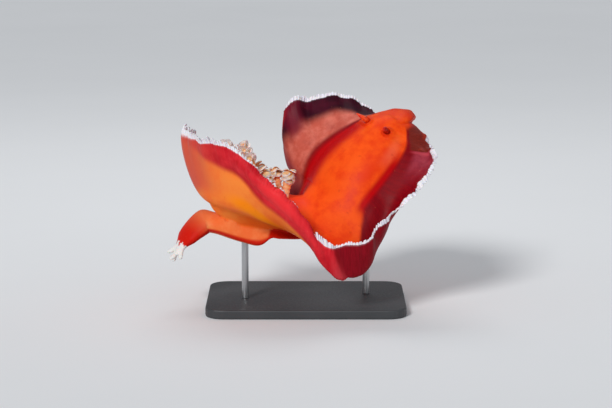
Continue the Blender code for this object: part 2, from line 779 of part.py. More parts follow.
def gill_flaps(path, outward, random_source):
    """Flaps all round the upper part of a gill's stalk, the last one at its tip."""
    flaps = []
    steps = np.linspace(0.0, 1.0, len(path))
    for k in range(GILL_FLAPS):
        share = GILL_BARE + (0.97 - GILL_BARE) * k / (GILL_FLAPS - 1)
        root = through(steps, path, [share])[0]
        way = unit(
            through(steps, path, [min(1.0, share + 0.03)])[0]
            - through(steps, path, [share - 0.03])[0]
        )
        across = unit(np.cross(way, outward))
        turn = math.radians(FLAP_TURN * k + random_source.uniform(-12.0, 12.0))
        side = math.cos(turn) * across + math.sin(turn) * np.cross(across, way)
        if k == GILL_FLAPS - 1:
            side = side * 0.1
        lean = unit(side + way * FLAP_RISE)
        size = 0.8 + 0.2 * math.cos(math.pi * k / (GILL_FLAPS - 1))
        length = FLAP_LENGTH * size * random_source.uniform(0.9, 1.1)
        points, faces = blade(root, lean, np.cross(lean, way), FLAP_SHAPE, length, 0.3)
        flaps.append((to_world(points), faces))
    return flaps


def make_anal_papilla():
    base, out = dorsum(*PAPILLA)
    path = [base + out * h for h in PAPILLA_HEIGHTS]
    points, faces = tube(dorsum, *PAPILLA, path, PAPILLA_RADII, 10)
    mesh_object("anal_papilla", to_world(points), faces, material("gill"))


def make_rhinophores():
    look = material("rhinophore")
    sheath = material("mantle_back")
    for name, side, way in RHINOPHORES:
        share = RHINOPHORE_SHARE
        base, out = dorsum(share, side)
        way = unit(np.array(way, float))
        reach = CLUB_TO[name]
        heights, radii = list(STEM_HEIGHTS), list(STEM_RADII)
        for k in range(CLUB_RIDGES):
            for part, depth in ((0.2, 0.0), (0.65, 0.0), (1.0, CLUB_GROOVE)):
                way_up = (k + part) / CLUB_RIDGES
                heights.append(CLUB_FROM + (reach - CLUB_FROM) * way_up * 0.93)
                radii.append(CLUB_WIDE * math.sqrt(1.0 - 0.75 * way_up**2) - depth)
        heights.append(reach)
        radii.append(0.5)
        path = []
        for h in heights:
            path.append(base + out * (0.9 + min(h, RHINOPHORE_STEM)) + way * max(0.0, h - RHINOPHORE_STEM))
        points, faces = tube(dorsum, share, side, path, radii, 9)
        mesh_object(f"rhinophore_{name}", to_world(points), faces, look)
        make_sheath(name, share, side, sheath)


def make_sheath(name, share, side, look):
    """A low collar round the rhinophore's foot: a ring turned on the back's own surface."""
    rows = []
    for j in range(SHEATH_AROUND):
        t = j * 2 * math.pi / SHEATH_AROUND
        row = []
        for r, h in SHEATH_PROFILE:
            at, away = dorsum(share + math.cos(t) * r / BODY_LENGTH, side + math.sin(t) * r)
            row.append(at + away * (ROOT_GAP + h))
        rows.append(row)
    rings = np.array(rows)
    count, wide = rings.shape[:2]
    faces = []
    for j in range(count):
        k = (j + 1) % count
        for i in range(wide):
            m = (i + 1) % wide
            a, b, c, d = j * wide + i, j * wide + m, k * wide + m, k * wide + i
            faces += [(a, b, c), (a, c, d)]
    mesh_object(f"rhinophore_sheath_{name}", to_world(rings.reshape(-1, 3)), faces, look)


def make_mouth_parts():
    """Lips and the two broad oral tentacles, under the front of the head."""
    look = material("oral")
    share, side = MOUTH
    base, out = underside(share, side)
    _, forward, right, _ = frames(share)
    path = [base + out * away + forward * ahead for away, ahead in MOUTH_PATH]
    points, faces = tube(underside, share, side, path, MOUTH_RADII, 12)
    mesh_object("mouth", to_world(points), faces, look)
    for name, sign in (("left", -1), ("right", 1)):
        side = sign * TENTACLE_SIDE
        base, out = underside(TENTACLE_SHARE, side)
        away, ahead, aside = TENTACLE_REACH
        tip = base + out * away + forward * ahead + right * sign * aside
        path = bow(base + out * 1.5, tip, out * 1.0, 4)
        points, faces = tube(
            underside, TENTACLE_SHARE, side, path, TENTACLE_RADII, 10, TENTACLE_FLAT
        )
        piece = mesh_object(f"oral_tentacle_{name}", to_world(points), faces, look)
        way = unit(path[-1] - path[-3])
        wide = unit(forward - (forward @ way) * way)
        apart, spread, drop = TENTACLE_FAN
        lobes = []
        for k in range(TENTACLE_LOBES):
            fan = 2.0 * k / (TENTACLE_LOBES - 1) - 1.0
            lean = unit(way + apart * fan * wide)
            root = path[-1] - way * (1.2 + drop * abs(fan)) + wide * fan * spread
            across = np.cross(lean, np.cross(way, wide))
            points, faces = blade(root, lean, across, ORAL_SHAPE, TENTACLE_LOBE, 1.0)
            lobes.append((to_world(points), faces))
        fuse(piece, lobes)


def foot_run():
    """Stations of the foot from under the head to the tail's end: centre of the upper
    face, right, up, half width and thickness."""
    rows = []
    for share in np.linspace(FOOT_FRONT, FOOT_REAR, FOOT_STATIONS):
        wide, _, keel, _ = (float(v) for v in girth(share))
        centre, _, right, dorsal = frames(share)
        half, thick = through(FOOT_KEYS, FOOT_SIZES, [share])[0]
        rows.append((centre - dorsal * (keel + ROOT_GAP), right, dorsal, half, thick, share))
    start = rows[-1]
    keys = np.linspace(0, 1, len(ARM) + 1)
    tail = np.array(ARM, float)
    spots = np.concatenate([[start[0]], place(tail[:, :3])])
    rights = np.concatenate([[start[1]], unit(tail[:, 3:6])])
    sizes = np.concatenate([[[start[3], start[4]]], tail[:, 6:8]])
    last_way = unit(rows[-1][0] - rows[-2][0])
    for t in np.linspace(0, 1, TAIL_STATIONS)[1:]:
        spot = through(keys, spots, [t])[0]
        way = unit(through(keys, spots, [min(1, t + 0.02)])[0] - through(keys, spots, [t - 0.02])[0])
        right = through(keys, rights, [t])[0]
        right = unit(right - (right @ way) * way)
        up = np.cross(way, right)
        half, thick = through(keys, sizes, [t])[0]
        rows.append((spot, right, up, half, thick, -t))
    return rows


def foot_section(row):
    spot, right, up, half, thick, _ = row
    ring = []
    for y, z in FOOT_OUTLINE:
        ring.append(spot + right * (y * half) - up * (z * thick))
    return np.array(ring)


def make_foot():
    look = material("foot")
    rows = foot_run()
    ends = [0] + [min(range(len(rows)), key=lambda i: abs(rows[i][5] - cut)) for cut in FOOT_CUTS]
    ends.append(len(rows) - 1)
    for name, lo, hi in zip(FOOT_NAMES, ends, ends[1:]):
        part = [foot_section(r) for r in rows[lo : hi + 1]]
        if lo:
            part[0] = part[0] + unit(part[1] - part[0]) * GAP / 2
        if hi < len(rows) - 1:
            part[-1] = part[-1] - unit(part[-1] - part[-2]) * GAP / 2
        points, faces = loft(part)
        piece = mesh_object(name, to_world(points), faces, look)
        if name == "foot_tail":
            fuse(piece, tail_lobes(rows))


def tail_lobes(rows):
    """The lobes that ring the end of the foot's tail."""
    spot, right, up, half, thick, _ = rows[-1]
    way = unit(rows[-1][0] - rows[-3][0])
    lobes = []
    for place_across, swing, rise, length in TAIL_LOBES:
        lean = unit(way + swing * right + rise * up)
        root = spot + right * place_across * half - up * thick * 0.5
        points, faces = blade(root, lean, np.cross(lean, up), TAIL_LOBE_SHAPE, length, TAIL_LOBE_SUNK)
        lobes.append((to_world(points), faces))
    return lobes


def make_stand():
    make_base(material("stand"))
    look = material("rod")
    rows = foot_run()
    for name, cut in STAND_RODS:
        row = min(rows, key=lambda r: abs(r[5] - cut))
        x, y, _ = to_world(row[0] - row[2] * row[4])
        bpy.ops.mesh.primitive_cylinder_add(vertices=ROD_AROUND, radius=ROD_RADIUS * MM, depth=MM)
        rod = bpy.context.object
        rod.location = (x * MM, y * MM, (STAND_THICK + GAP) * MM)
        for vert in rod.data.vertices:
            high = vert.co.z > 0.0
            vert.co.z = 0.0
            if high:
                top = sole_height(rows, x + vert.co.x / MM, y + vert.co.y / MM) - GAP
                vert.co.z = (top - STAND_THICK - GAP) * MM
        settle(rod, name, look)


def make_base(look):
    """A plate on the ground with round corners and a small bevel round its rims."""
    bpy.ops.mesh.primitive_cube_add(size=1.0)
    base = bpy.context.object
    wide, deep = STAND_BASE
    for vert in base.data.vertices:
        vert.co = (vert.co.x * wide * MM, vert.co.y * deep * MM, vert.co.z * STAND_THICK * MM)
    work = bmesh.new()
    work.from_mesh(base.data)
    upright = [e for e in work.edges if abs(e.verts[0].co.z - e.verts[1].co.z) > 0.5 * STAND_THICK * MM]
    bmesh.ops.bevel(
        work, geom=upright, offset=STAND_CORNER * MM, offset_type="OFFSET", segments=6,
        profile=0.5, affect="EDGES", clamp_overlap=True,
    )
    work.to_mesh(base.data)
    work.free()
    rim = base.modifiers.new("rim", "BEVEL")
    rim.width = STAND_BEVEL * MM
    rim.segments = 2
    rim.limit_method = "ANGLE"
    rim.angle_limit = math.radians(60.0)
    base.location = (0.0, 0.0, STAND_THICK / 2 * MM)
    settle(base, "stand_base", look)


def settle(thing, name, look):
    """Name a primitive, give it its look and move it to the model's collection."""
    thing.name = name
    thing.data.name = name
    thing.data.materials.append(look)
    smooth_shade(thing.data)
    for home in list(thing.users_collection):
        home.objects.unlink(thing)
    collection(MODEL).objects.link(thing)


def sole_height(rows, x, y):
    """The lowest the sole can be above a spot of the floor, judged by the nearest stations."""
    heights = []
    for row in rows:
        spot = to_world(row[0] - row[2] * row[4])
        up = to_world(row[0]) - to_world(row[0] - row[2])
        along = np.cross(row[1], row[2])
        along = to_world(along) - to_world(np.zeros(3))
        z = spot[2] - ((x - spot[0]) * up[0] + (y - spot[1]) * up[1]) / up[2]
        heights.append((abs((np.array([x, y, z]) - spot) @ along), z, 1.0 / up[2]))
    heights.sort()
    return min(z - GAP * (steep - 1.0) for _, z, steep in heights[:3])


def main():
    random_source = random.Random(SEED)
    clear_scene()
    make_body()
    make_margin(random_source)
    make_foot()
    make_gills(random_source)
    make_anal_papilla()
    make_rhinophores()
    make_mouth_parts()
    make_stand()


main()
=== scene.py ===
"""Looks of the spanish dancer: one continuous skin over the solids, gills, horns and light."""

import math
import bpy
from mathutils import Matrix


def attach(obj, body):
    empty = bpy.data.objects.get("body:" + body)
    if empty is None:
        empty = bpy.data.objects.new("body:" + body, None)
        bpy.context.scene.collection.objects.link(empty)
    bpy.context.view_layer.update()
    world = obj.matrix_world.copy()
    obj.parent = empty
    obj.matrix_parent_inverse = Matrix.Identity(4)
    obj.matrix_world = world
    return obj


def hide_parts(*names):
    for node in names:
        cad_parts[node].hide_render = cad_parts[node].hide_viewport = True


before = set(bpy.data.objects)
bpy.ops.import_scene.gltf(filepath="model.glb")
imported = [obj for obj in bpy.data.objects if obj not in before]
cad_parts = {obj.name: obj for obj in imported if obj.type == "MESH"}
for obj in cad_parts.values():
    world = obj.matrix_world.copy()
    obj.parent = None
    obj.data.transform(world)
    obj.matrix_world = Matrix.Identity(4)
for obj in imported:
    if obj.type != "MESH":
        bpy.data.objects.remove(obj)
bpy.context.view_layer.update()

from types import SimpleNamespace

import bpy
import numpy as np
from mathutils import Vector
from mathutils.kdtree import KDTree

MM = 0.001
SEED = 11
PHOTO = (612, 408)
PIXEL = 0.75  # millimetres for each pixel of the photo, at the animal

# Places are in millimetres as the photo's camera sees them: across, away from it, and up.
SIGHT_TILT = math.radians(10.0)  # the camera looks down by this
SIGHT_RANGE = 1500.0
SIGHT_UP = 57.0
SENSOR = 36.0
MOVE = np.array([0.0, -24.0, 24.0])  # from there to the part's frame

# Spine, tail first: across, away, up, right side, half width, dome, keel.
SPINE = (
    (-72, 0, 62, 0.00, -0.97, -0.20, 22, 9, 13),
    (-45, 0, 59, 0.00, -0.96, -0.28, 26, 11, 17),
    (-18, 0, 52, 0.05, -0.94, -0.35, 28, 11, 12),
    (2, 0, 50, 0.20, -0.88, -0.45, 30, 12, 12),
    (17, 0, 59, 0.42, -0.76, -0.50, 32, 13, 13),
    (31, 0, 79, 0.62, -0.67, -0.42, 32, 14, 16),
    (54, 3, 105, 0.69, -0.62, -0.38, 28, 12, 16),
    (66, 5, 122, 0.71, -0.60, -0.36, 26, 10, 14),
)
END_POWER = 6  # how bluntly the body ends
DOME_POWER = 0.8
EDGE_HEIGHT = 3.6  # depth of the body's edge, where the margin grows out
KEEL_SHARE = 0.36  # half the belly's flat part, of the body's half width
ROOT_GAP = 0.45  # from the body's edge out to the margin's root, as between the solids
SPINE_STEP = 0.004  # share of the body either side that gives the spine's direction

# Mantle margin: angle round the back's edge in degrees, from the tail past the near side
# and the head; its rim's point; and a point that its middle bulges out to.
RING = (
    (0, -91, 4, 115, -89, 3, 86),
    (28, -80, -32, 107, -73, -24, 80),
    (48, -58, -46, 101, -50, -38, 73),
    (64, -36, -54, 81, -31, -46, 60),
    (74, -14, -57, 64, -13, -48, 44),
    (80, 2, -56, 46, 2, -46, 28),
    (84, 9, -53, 34, 11, -43, 15),
    (88, 19, -49, 28, 22, -38, 6.5),
    (92, 32, -48, 30.5, 33, -35, 4.5),
    (96, 45, -47, 32, 45, -32, 11.5),
    (100, 57, -44, 45, 53, -28, 30),
    (103, 60.5, -41.5, 47.5, 56.5, -26.5, 38.5),
    (106, 65, -42, 53, 60, -25, 47),
    (116, 75, -42, 63, 70, -24, 64),
    (127, 87, -39, 77, 80, -21, 78),
    (137, 93, -33, 87, 86, -17, 87),
    (147, 95, -25, 97, 88, -10, 97),
    (154, 91, 0, 104.5, 87, -4, 107.5),
    (159, 86, 12, 109.5, 81, 5, 114.5),
    (163, 82, 23, 113.5, 77, 12, 119),
    (167, 82, 31, 118, 81, 18, 122.5),
    (172, 78, 40, 119, 78, 24, 126),
    (182, 68, 48, 112, 68, 29, 127),
    (196, 60, 52, 121, 59, 32, 125),
    (212, 46, 52, 131.5, 45, 34, 123),
    (226, 31, 52, 139.5, 32, 35, 122),
    (237, 16, 51, 141, 19, 36, 120),
    (243, 4.5, 52, 138, 8, 38, 115),
    (248, -7, 49, 138.5, 0, 37, 111),
    (256, -18, 51, 126, -9, 39, 100),
    (263, -15, 61, 106, -11, 43, 89),
    (271, -11, 70, 82, -8, 49, 77),
    (281, -16, 78, 60, -12, 54, 66),
    (296, -30, 74, 54, -26, 52, 60),
    (312, -52, 68, 68, -47, 50, 68),
    (328, -72, 52, 96, -68, 38, 80),
    (343, -85, 28, 112, -82, 22, 87),
)
ROOT_THICK = 3.2
RIM_THICK = 1.3
TIP_THICK = 0.45
FRINGE = 4.5
PLEAT = 2.3  # width of one lobe of the fringe
PLEAT_DEPTH = 0.8
LOBE_SIZES = (0.45, 1.15)
# What makes the lobes uneven: height in radians, length along the rim, start in radians.
LOBE_DRIFT = ((1.6, 31.0, 0.0), (1.3, 13.7, 1.0), (0.5, 7.3, 2.0))
# Ruffles: height, length along the rim, start in radians, how steeply they die out inward.
RUFFLES = ((0.9, 15.0, 0.0, 3), (0.54, 25.95, 1.0, 3), (0.22, 6.1, 0.0, 9), (0.16, 3.7, 2.0, 14))

# Angle, then the fringe's length over FRINGE, how far it rolls over toward the back in
# degrees, how deep its lobes are cut, and how deep it is pleated.
FRINGE_KEYS = (
    (0, 1.5, 0, 0.6, 0.6), (28, 1.5, 0, 0.7, 0.9), (44, 1.25, 15, 0.7, 0.9),
    (54, 0.9, 40, 0.65, 0.6), (61, 0.7, 120, 0.6, 0.4), (64, 0.6, 150, 0.6, 0.4),
    (66.5, 0.7, 85, 0.6, 0.4), (69, 0.6, 150, 0.6, 0.4), (71, 0.7, 90, 0.6, 0.4),
    (73, 0.6, 150, 0.6, 0.4), (75.5, 0.65, 100, 0.6, 0.4), (78, 0.55, 165, 0.6, 0.3),
    (80, 0.55, 165, 0.6, 0.3), (82.4, 0.7, 110, 0.6, 0.6), (84, 1.5, 10, 0.35, 1.0),
    (86.5, 1.6, 0, 0.35, 1.0), (87.8, 0.95, 10, 0.5, 0.7), (88.6, 0.5, 10, 0.5, 0.4),
    (97, 0.65, 5, 0.65, 0.45), (101, 0.9, 20, 0.7, 0.8), (104, 1.0, 0, 0.7, 0.7),
    (108, 1.0, -45, 0.8, 0.5), (114, 1.5, -65, 0.85, 0.6), (122, 2.0, -75, 0.9, 0.7),
    (136, 2.0, -65, 0.9, 0.9), (147, 1.6, -35, 0.8, 1.0), (153, 0.8, -20, 0.5, 0.7),
    (158, 0.4, -50, 0.2, 0.2), (165, 0.4, -50, 0.2, 0.2), (172, 0.7, -40, 0.5, 0.6),
    (200, 0.9, -10, 0.5, 0.5), (214, 1.0, 0, 0.6, 0.6),
    (238, 1.05, 0, 0.6, 0.6), (247, 1.2, 0, 0.55, 0.9), (254, 1.0, -25, 0.5, 0.8),
    (259, 0.7, -120, 0.5, 0.5), (268, 0.6, -160, 0.5, 0.4), (282, 0.8, -90, 0.5, 0.5),
    (296, 1.0, -20, 0.6, 0.7), (320, 1.15, 0, 0.6, 0.7), (360, 1.5, 0, 0.6, 0.6),
)
# Angle, then the share of the way to the fringe where the inside turns crimson.
CRIMSON_FROM = (
    (0, 0.5), (80, 0.6), (87, 1.1), (90, 1.05), (92, 0.65), (94, 0.32), (97, 0.08),
    (101, -0.04), (118, -0.04), (200, -0.04), (205, 0.0), (300, 0.1), (360, 0.5),
)
ROLL_FROM = 0.88  # share of the way to the fringe where the rim starts to roll

# Folds across the margin: angle at the rim, angle at the middle of the sheet, height
# toward the back, how far it rises on its near side and its far side in degrees.
FOLDS = (
    (87.7, 90.8, -1.5, 3.2, 1.0),
    (89.2, 92.3, 1.0, 1.0, 3.2),
    (148.5, 148.5, 0.9, 2.5, 1.5),
    (244.6, 245.2, -1.1, 2.4, 2.2),
    (252.0, 253.0, 1.0, 3.5, 3.5),
    (268.0, 268.0, 0.8, 4.0, 3.0),
)

HALF_COLUMNS = 1300
DOME_ROWS = 56
SHEET_ROWS = 52
FRINGE_ROWS = 12
BELLY_ROWS = 22
FILLETS = ((14, 5), (24, 7), (30, 16))  # rows softened at the body's edge: usual, bend, head
BELLY_SPLIT = 0.7  # share of the belly's rows on its slope, before its flat part
BELLY_ROUNDS = 14  # passes that soften the belly's meeting line, this many rows either side
BELLY_SPREAD = 4

# The foot along the spine: share of the body, half width, thickness.
FOOT_FRONT = 0.95
FOOT_REAR = 0.09
FOOT_SIZES = (
    (0.0, 16, 14), (0.12, 17.0, 13.5), (0.20, 17.0, 13.0), (0.25, 17.5, 13.5),
    (0.276, 16.8, 11.5), (0.294, 14.0, 7.0), (0.33, 13.0, 6.0), (0.43, 11, 5), (0.52, 11, 5),
    (0.7, 14, 6), (0.95, 11, 4),
)
FOOT_STEPS = 120
ARM_STEPS = 60
FOOT_ROUND = 14.0  # steps over which either end is rounded off
FOOT_SMOOTHING = 60
BLEND_RINGS = 8  # how far from the meeting line the foot is blended into the body
BLEND_FADE = 0.86
# The foot's free tail: across, away, up, right side, half width, thickness.
ARM = (
    (-75.5, 9, 53.0, 0.0, -0.85, -0.5, 15, 17.5),
    (-84, 9, 46.0, 0.0, -0.75, -0.65, 14, 15),
    (-92, 8, 36, 0.0, -0.70, -0.70, 12, 11.0),
    (-98, 7, 26.5, 0.0, -0.70, -0.70, 9.5, 8.5),
)
# Right half of the foot's outline, from the body's middle to the sole's.
FOOT_OUTLINE = (
    (0.0, -0.30), (0.46, -0.30), (0.56, 0.05), (0.74, 0.36), (0.97, 0.68), (1.0, 0.85),
    (0.86, 0.98), (0.45, 1.0), (0.0, 0.97),
)
# White lobes: place across the tail's end, lean aside, lean up, length.
TAIL_LOBES = (
    (-0.62, -0.50, 0.2, 9.5), (-0.2, -0.15, -0.25, 12.5), (0.28, 0.2, 0.25, 13.0),
    (0.68, 0.55, -0.1, 9.5),
)

# Gill plumes: share of the body and side of the root, then the tip's place.
GILLS = (
    (0.320, 2.0, -12.5, -6, 81.5),
    (0.300, -12.0, -26, 12, 82),
    (0.235, -12.0, -39, 14, 86),
    (0.180, 0.0, -60, 2, 101),
    (0.220, 12.0, -47.0, -12, 100),
    (0.270, 12.0, -33, -19, 82),
)
# How far each plume's leaves stand up, and how far they bend back, in radians.
GILL_HABIT = ((0.6, 2.4), (0.7, 2.3), (0.9, 2.0), (2.4, 0.5), (2.4, 0.5), (0.8, 2.2))
GILL_STALKS = (3.0, 2.3, 2.3, 2.6, 2.6, 2.3)
GILL_LEAVES = 17
LEAVES_FROM = 0.58  # share of the stalk where they begin, and the share they cover
LEAVES_RUN = 0.39
GILL_RINGS = 60
GILL_RIBS = 9
GOLDEN_TURN = 137.5  # degrees from one leaf to the next
LEAF_LENGTH = 8.6
LEAF_WIDTH = 2.4
LEAF_TEETH = 9
PAPILLA = (0.27, 0.0)
RHINOPHORE_SHARE = 0.92
RHINOPHORE_STEM = 3.2  # the upright foot of a rhinophore, before it leans over
COLLAR_AT = 3.0  # the raised collar round a rhinophore's pit
COLLAR_HIGH = 2.1
COLLAR_INSIDE = 1.2  # how far its slopes run
COLLAR_OUTSIDE = 2.6
PIT_WIDE = 1.8
PIT_DEEP = 0.6
# Rhinophores: name, side of the root, lean.
RHINOPHORES = (
    ("left", -12.5, (-0.80, -0.25, 0.52)),
    ("right", 9.0, (-0.05, -0.97, 0.22)),
)
CLUB_FROM = 4.6
CLUB_TO = {"left": 12.0, "right": 8.5}
STEM_WIDE = 1.7
CLUB_WIDE = 2.1
CLUB_LEAVES = 10
LEAF_CUT = 0.34  # how deep the gaps between the club's leaves are
# The right club's darker reds are painted shade: it sits end-on in its pit's shadow.
CLUB_COLOURS = {"left": ("E8300A", "FF5A14"), "right": ("B4100A", "D8280E")}
MOUTH = (0.965, 0.0)
TENTACLE_SHARE = 0.945
TENTACLE_SIDE = 12.0
FINGERS = 9

BODY_NODES = (
    "back_rear", "back_middle", "back_front", "head", "rhinophore_sheath_left",
    "rhinophore_sheath_right",
    "skirt_tail_tip", "skirt_tail_right", "skirt_side_right", "skirt_fold_right",
    "skirt_front_right", "skirt_front", "skirt_petal_left", "skirt_turn_left",
    "skirt_side_left",
    "border_tail_left", "border_tail_tip", "border_tail_right", "border_side_right",
    "border_fold_rear", "border_fold_front", "border_front_right", "border_front_corner",
    "border_front_left", "border_petal_front", "border_petal_rear", "border_turn_top",
    "border_turn_low", "border_side_left_front", "border_side_left_rear",
    "foot_front", "foot_middle", "foot_rear", "foot_tail",
)


def place(points):
    """Spread the photo's measures out with their distance from the camera."""
    p = np.asarray(points, float)
    spread = (SIGHT_RANGE + p[..., 1]) / SIGHT_RANGE
    return np.stack(
        [p[..., 0] * spread, p[..., 1], SIGHT_UP + (p[..., 2] - SIGHT_UP) * spread],
        axis=-1,
    )


def to_world(points):
    """From the camera's directions to the part's frame, in millimetres."""
    p = np.asarray(points, float)
    c, s = math.cos(SIGHT_TILT), math.sin(SIGHT_TILT)
    y = p[..., 1] * c + p[..., 2] * s
    z = p[..., 2] * c - p[..., 1] * s
    return np.stack([p[..., 0], y, z], axis=-1) + MOVE


def unit(v):
    return v / np.maximum(np.linalg.norm(v, axis=-1, keepdims=True), 1e-9)


def smooth(t):
    t = np.clip(t, 0.0, 1.0)
    return t * t * (3.0 - 2.0 * t)


def ramp(value, low, high):
    """0 below low, 1 above high, smooth between; low may be above high."""
    return smooth((np.asarray(value, float) - low) / (high - low))


def bump_at(value, centre, half):
    """1 at centre, falling smoothly to 0 at this distance to either side."""
    return 1.0 - smooth(np.abs(np.asarray(value, float) - centre) / half)


def between(value, low, high, fall, end):
    """Rises from 0 at low to 1 at high, and falls from 1 at fall to 0 at end."""
    return ramp(value, low, high) * (1.0 - ramp(value, fall, end))


def curve(start, start_way, end, end_way, t):
    """From start to end, leaving and arriving along the given ways."""
    return (
        start * (2 * t**3 - 3 * t**2 + 1) + start_way * (t**3 - 2 * t**2 + t)
        + end * (3 * t**2 - 2 * t**3) + end_way * (t**3 - t**2)
    )


def run_along(points):
    """Distance along each line of points, from its first point."""
    steps = np.linalg.norm(np.diff(points, axis=-2), axis=-1)
    return np.concatenate([np.zeros_like(steps[..., :1]), np.cumsum(steps, axis=-1)], axis=-1)


def through(keys, values, at):
    """A smooth curve through values at keys, read at each of the numbers in at."""
    keys = np.asarray(keys, float)
    values = np.asarray(values, float)
    steps = np.diff(keys)
    slopes = np.diff(values, axis=0) / steps[:, None]
    tangents = np.empty_like(values)
    tangents[0] = slopes[0]
    tangents[-1] = slopes[-1]
    before, after = steps[:-1, None], steps[1:, None]
    tangents[1:-1] = (slopes[:-1] * after + slopes[1:] * before) / (before + after)
    at = np.asarray(at, float)
    i = np.clip(np.searchsorted(keys, at, side="right") - 1, 0, len(keys) - 2)
    h = steps[i][..., None]
    t = ((at - keys[i]) / steps[i])[..., None]
    return curve(values[i], tangents[i] * h, values[i + 1], tangents[i + 1] * h, t)


SPINE_NUMBERS = np.array(SPINE, float)
SPINE_POINTS = place(SPINE_NUMBERS[:, :3])
SPINE_RUN = run_along(SPINE_POINTS)
BODY_LENGTH = SPINE_RUN[-1]
SPINE_KEYS = SPINE_RUN / BODY_LENGTH
RING_NUMBERS = np.array(RING, float)


def frames(share):
    """Centre, forward, right and dorsal direction along the spine."""
    share = np.asarray(share, float)
    centre = through(SPINE_KEYS, SPINE_POINTS, share)
    ahead = through(SPINE_KEYS, SPINE_POINTS, np.clip(share + SPINE_STEP, 0, 1))
    behind = through(SPINE_KEYS, SPINE_POINTS, np.clip(share - SPINE_STEP, 0, 1))
    forward = unit(ahead - behind)
    hint = through(SPINE_KEYS, SPINE_NUMBERS[:, 3:6], share)
    right = unit(hint - (hint * forward).sum(-1, keepdims=True) * forward)
    return centre, forward, right, np.cross(right, forward)


def girth(share):
    """Half width, dome, keel and how full the body is at a share of its length."""
    share = np.asarray(share, float)
    end = np.sqrt(np.clip(1.0 - np.abs(2.0 * share - 1.0) ** END_POWER, 0.0, 1.0))
    sizes = through(SPINE_KEYS, SPINE_NUMBERS[:, 6:9], share)
    return sizes[..., 0] * end, sizes[..., 1] * end, sizes[..., 2], end


def loop(angle):
    """The back's edge at an angle in degrees: point, outward direction and dorsal."""
    a = np.radians(np.asarray(angle, float))

    def flat(b):
        share = 0.5 - 0.5 * np.cos(b)
        return share, girth(share)[0] * np.sign(np.sin(b))

    share, side = flat(a)
    ahead, behind = flat(a + 0.01), flat(a - 0.01)
    along = (ahead[0] - behind[0]) * BODY_LENGTH
    aside = ahead[1] - behind[1]
    size = np.hypot(along, aside)
    centre, forward, right, dorsal = frames(share)
    out = forward * (-aside / size)[..., None] + right * (along / size)[..., None]
    edge = centre + right * side[..., None] - dorsal * (EDGE_HEIGHT / 2)
    return edge + out * ROOT_GAP, out, dorsal


def ring_at(angle):
    """Rim and belly points at each angle, joined smoothly all the way round."""
    turned_back = RING_NUMBERS[-4:].copy()
    turned_on = RING_NUMBERS[:4].copy()
    turned_back[:, 0] -= 360.0
    turned_on[:, 0] += 360.0
    table = np.concatenate([turned_back, RING_NUMBERS, turned_on])
    got = through(table[:, 0], table[:, 1:], np.mod(angle, 360.0))
    return place(got[..., :3]), place(got[..., 3:])


FINE_ANGLES = np.linspace(0.0, 360.0, 2881)
RIM_SUM = run_along(ring_at(FINE_ANGLES)[0])
RIM_LENGTH = RIM_SUM[-1]
ROOT_SUM = run_along(loop(FINE_ANGLES)[0])


def whole_waves(angle, length):
    """Phase in radians of waves of about this length along the rim, whole round it."""
    run = np.interp(np.mod(angle, 360.0), FINE_ANGLES, RIM_SUM)
    return 2 * math.pi * round(RIM_LENGTH / length) * run / RIM_LENGTH


def profile_points(angle, wanted):
    """Points of the margin's middle surface: one row of distances from the root, in
    shares of the way to the fringe up to 1 and of the fringe beyond, for every angle."""
    root, out, _ = loop(angle)
    rim, belly = ring_at(angle)
    free = 2.0 * belly - (root + rim) / 2.0 - root
    reach = np.linalg.norm(free, axis=-1, keepdims=True)
    first = root + unit(unit(free) + 1.1 * out) * reach * 0.42
    second = (8.0 * belly - root - rim - 3.0 * first) / 3.0
    v = np.linspace(0.0, 1.0, 61)[None, :, None]
    u = 1.0 - v
    lines = (
        root[:, None] * u**3 + 3 * first[:, None] * u**2 * v
        + 3 * second[:, None] * u * v**2 + rim[:, None] * v**3
    )
    runs = run_along(lines)
    rows = []
    for line, run, want in zip(lines, runs, wanted):
        base = run[-1] - FRINGE
        at = np.where(want <= 1.0, want * base, base + (want - 1.0) * FRINGE)
        row = np.stack([np.interp(at, run, line[:, k]) for k in range(3)], -1)
        over = np.clip(at - run[-1], 0.0, None)
        row += over[:, None] * unit(line[-1] - line[-3])
        rows.append(row)
    return np.array(rows), runs[:, -1]


def fringe_at(angles):
    """Length, roll, lobe depth and pleat depth of the fringe at each angle."""
    keys = np.array(FRINGE_KEYS, float)
    return np.stack([np.interp(angles, keys[:, 0], keys[:, k]) for k in range(1, 5)], axis=-1)


def half_angles():
    """Angles from 0 to 180, dense where either side's rim is long."""
    a = np.linspace(0.0, 180.0, 1441)
    right = np.interp(a, FINE_ANGLES, RIM_SUM)
    left = RIM_LENGTH - np.interp(360.0 - a, FINE_ANGLES, RIM_SUM)
    root = np.interp(a, FINE_ANGLES, ROOT_SUM)
    measure = 0.42 * right + 0.42 * left + 0.16 * root
    return np.interp(np.linspace(0, measure[-1], HALF_COLUMNS + 1), measure, a)


def columns():
    """The skin's columns, all round from the tail, with the spine's facts at each."""
    half = half_angles()
    angles = np.concatenate([half, 360.0 - half[-2:0:-1]])
    share = np.clip(0.5 - 0.5 * np.cos(np.radians(angles)), 0.0016, 0.9984)
    wide, dome, keel, end = girth(share)
    centre, _, right, dorsal = frames(share)
    return SimpleNamespace(
        angles=angles, share=share, sign=np.where(angles <= 180.0, 1.0, -1.0), wide=wide,
        dome=dome, keel=keel, end=end, centre=centre, right=right, dorsal=dorsal,
    )


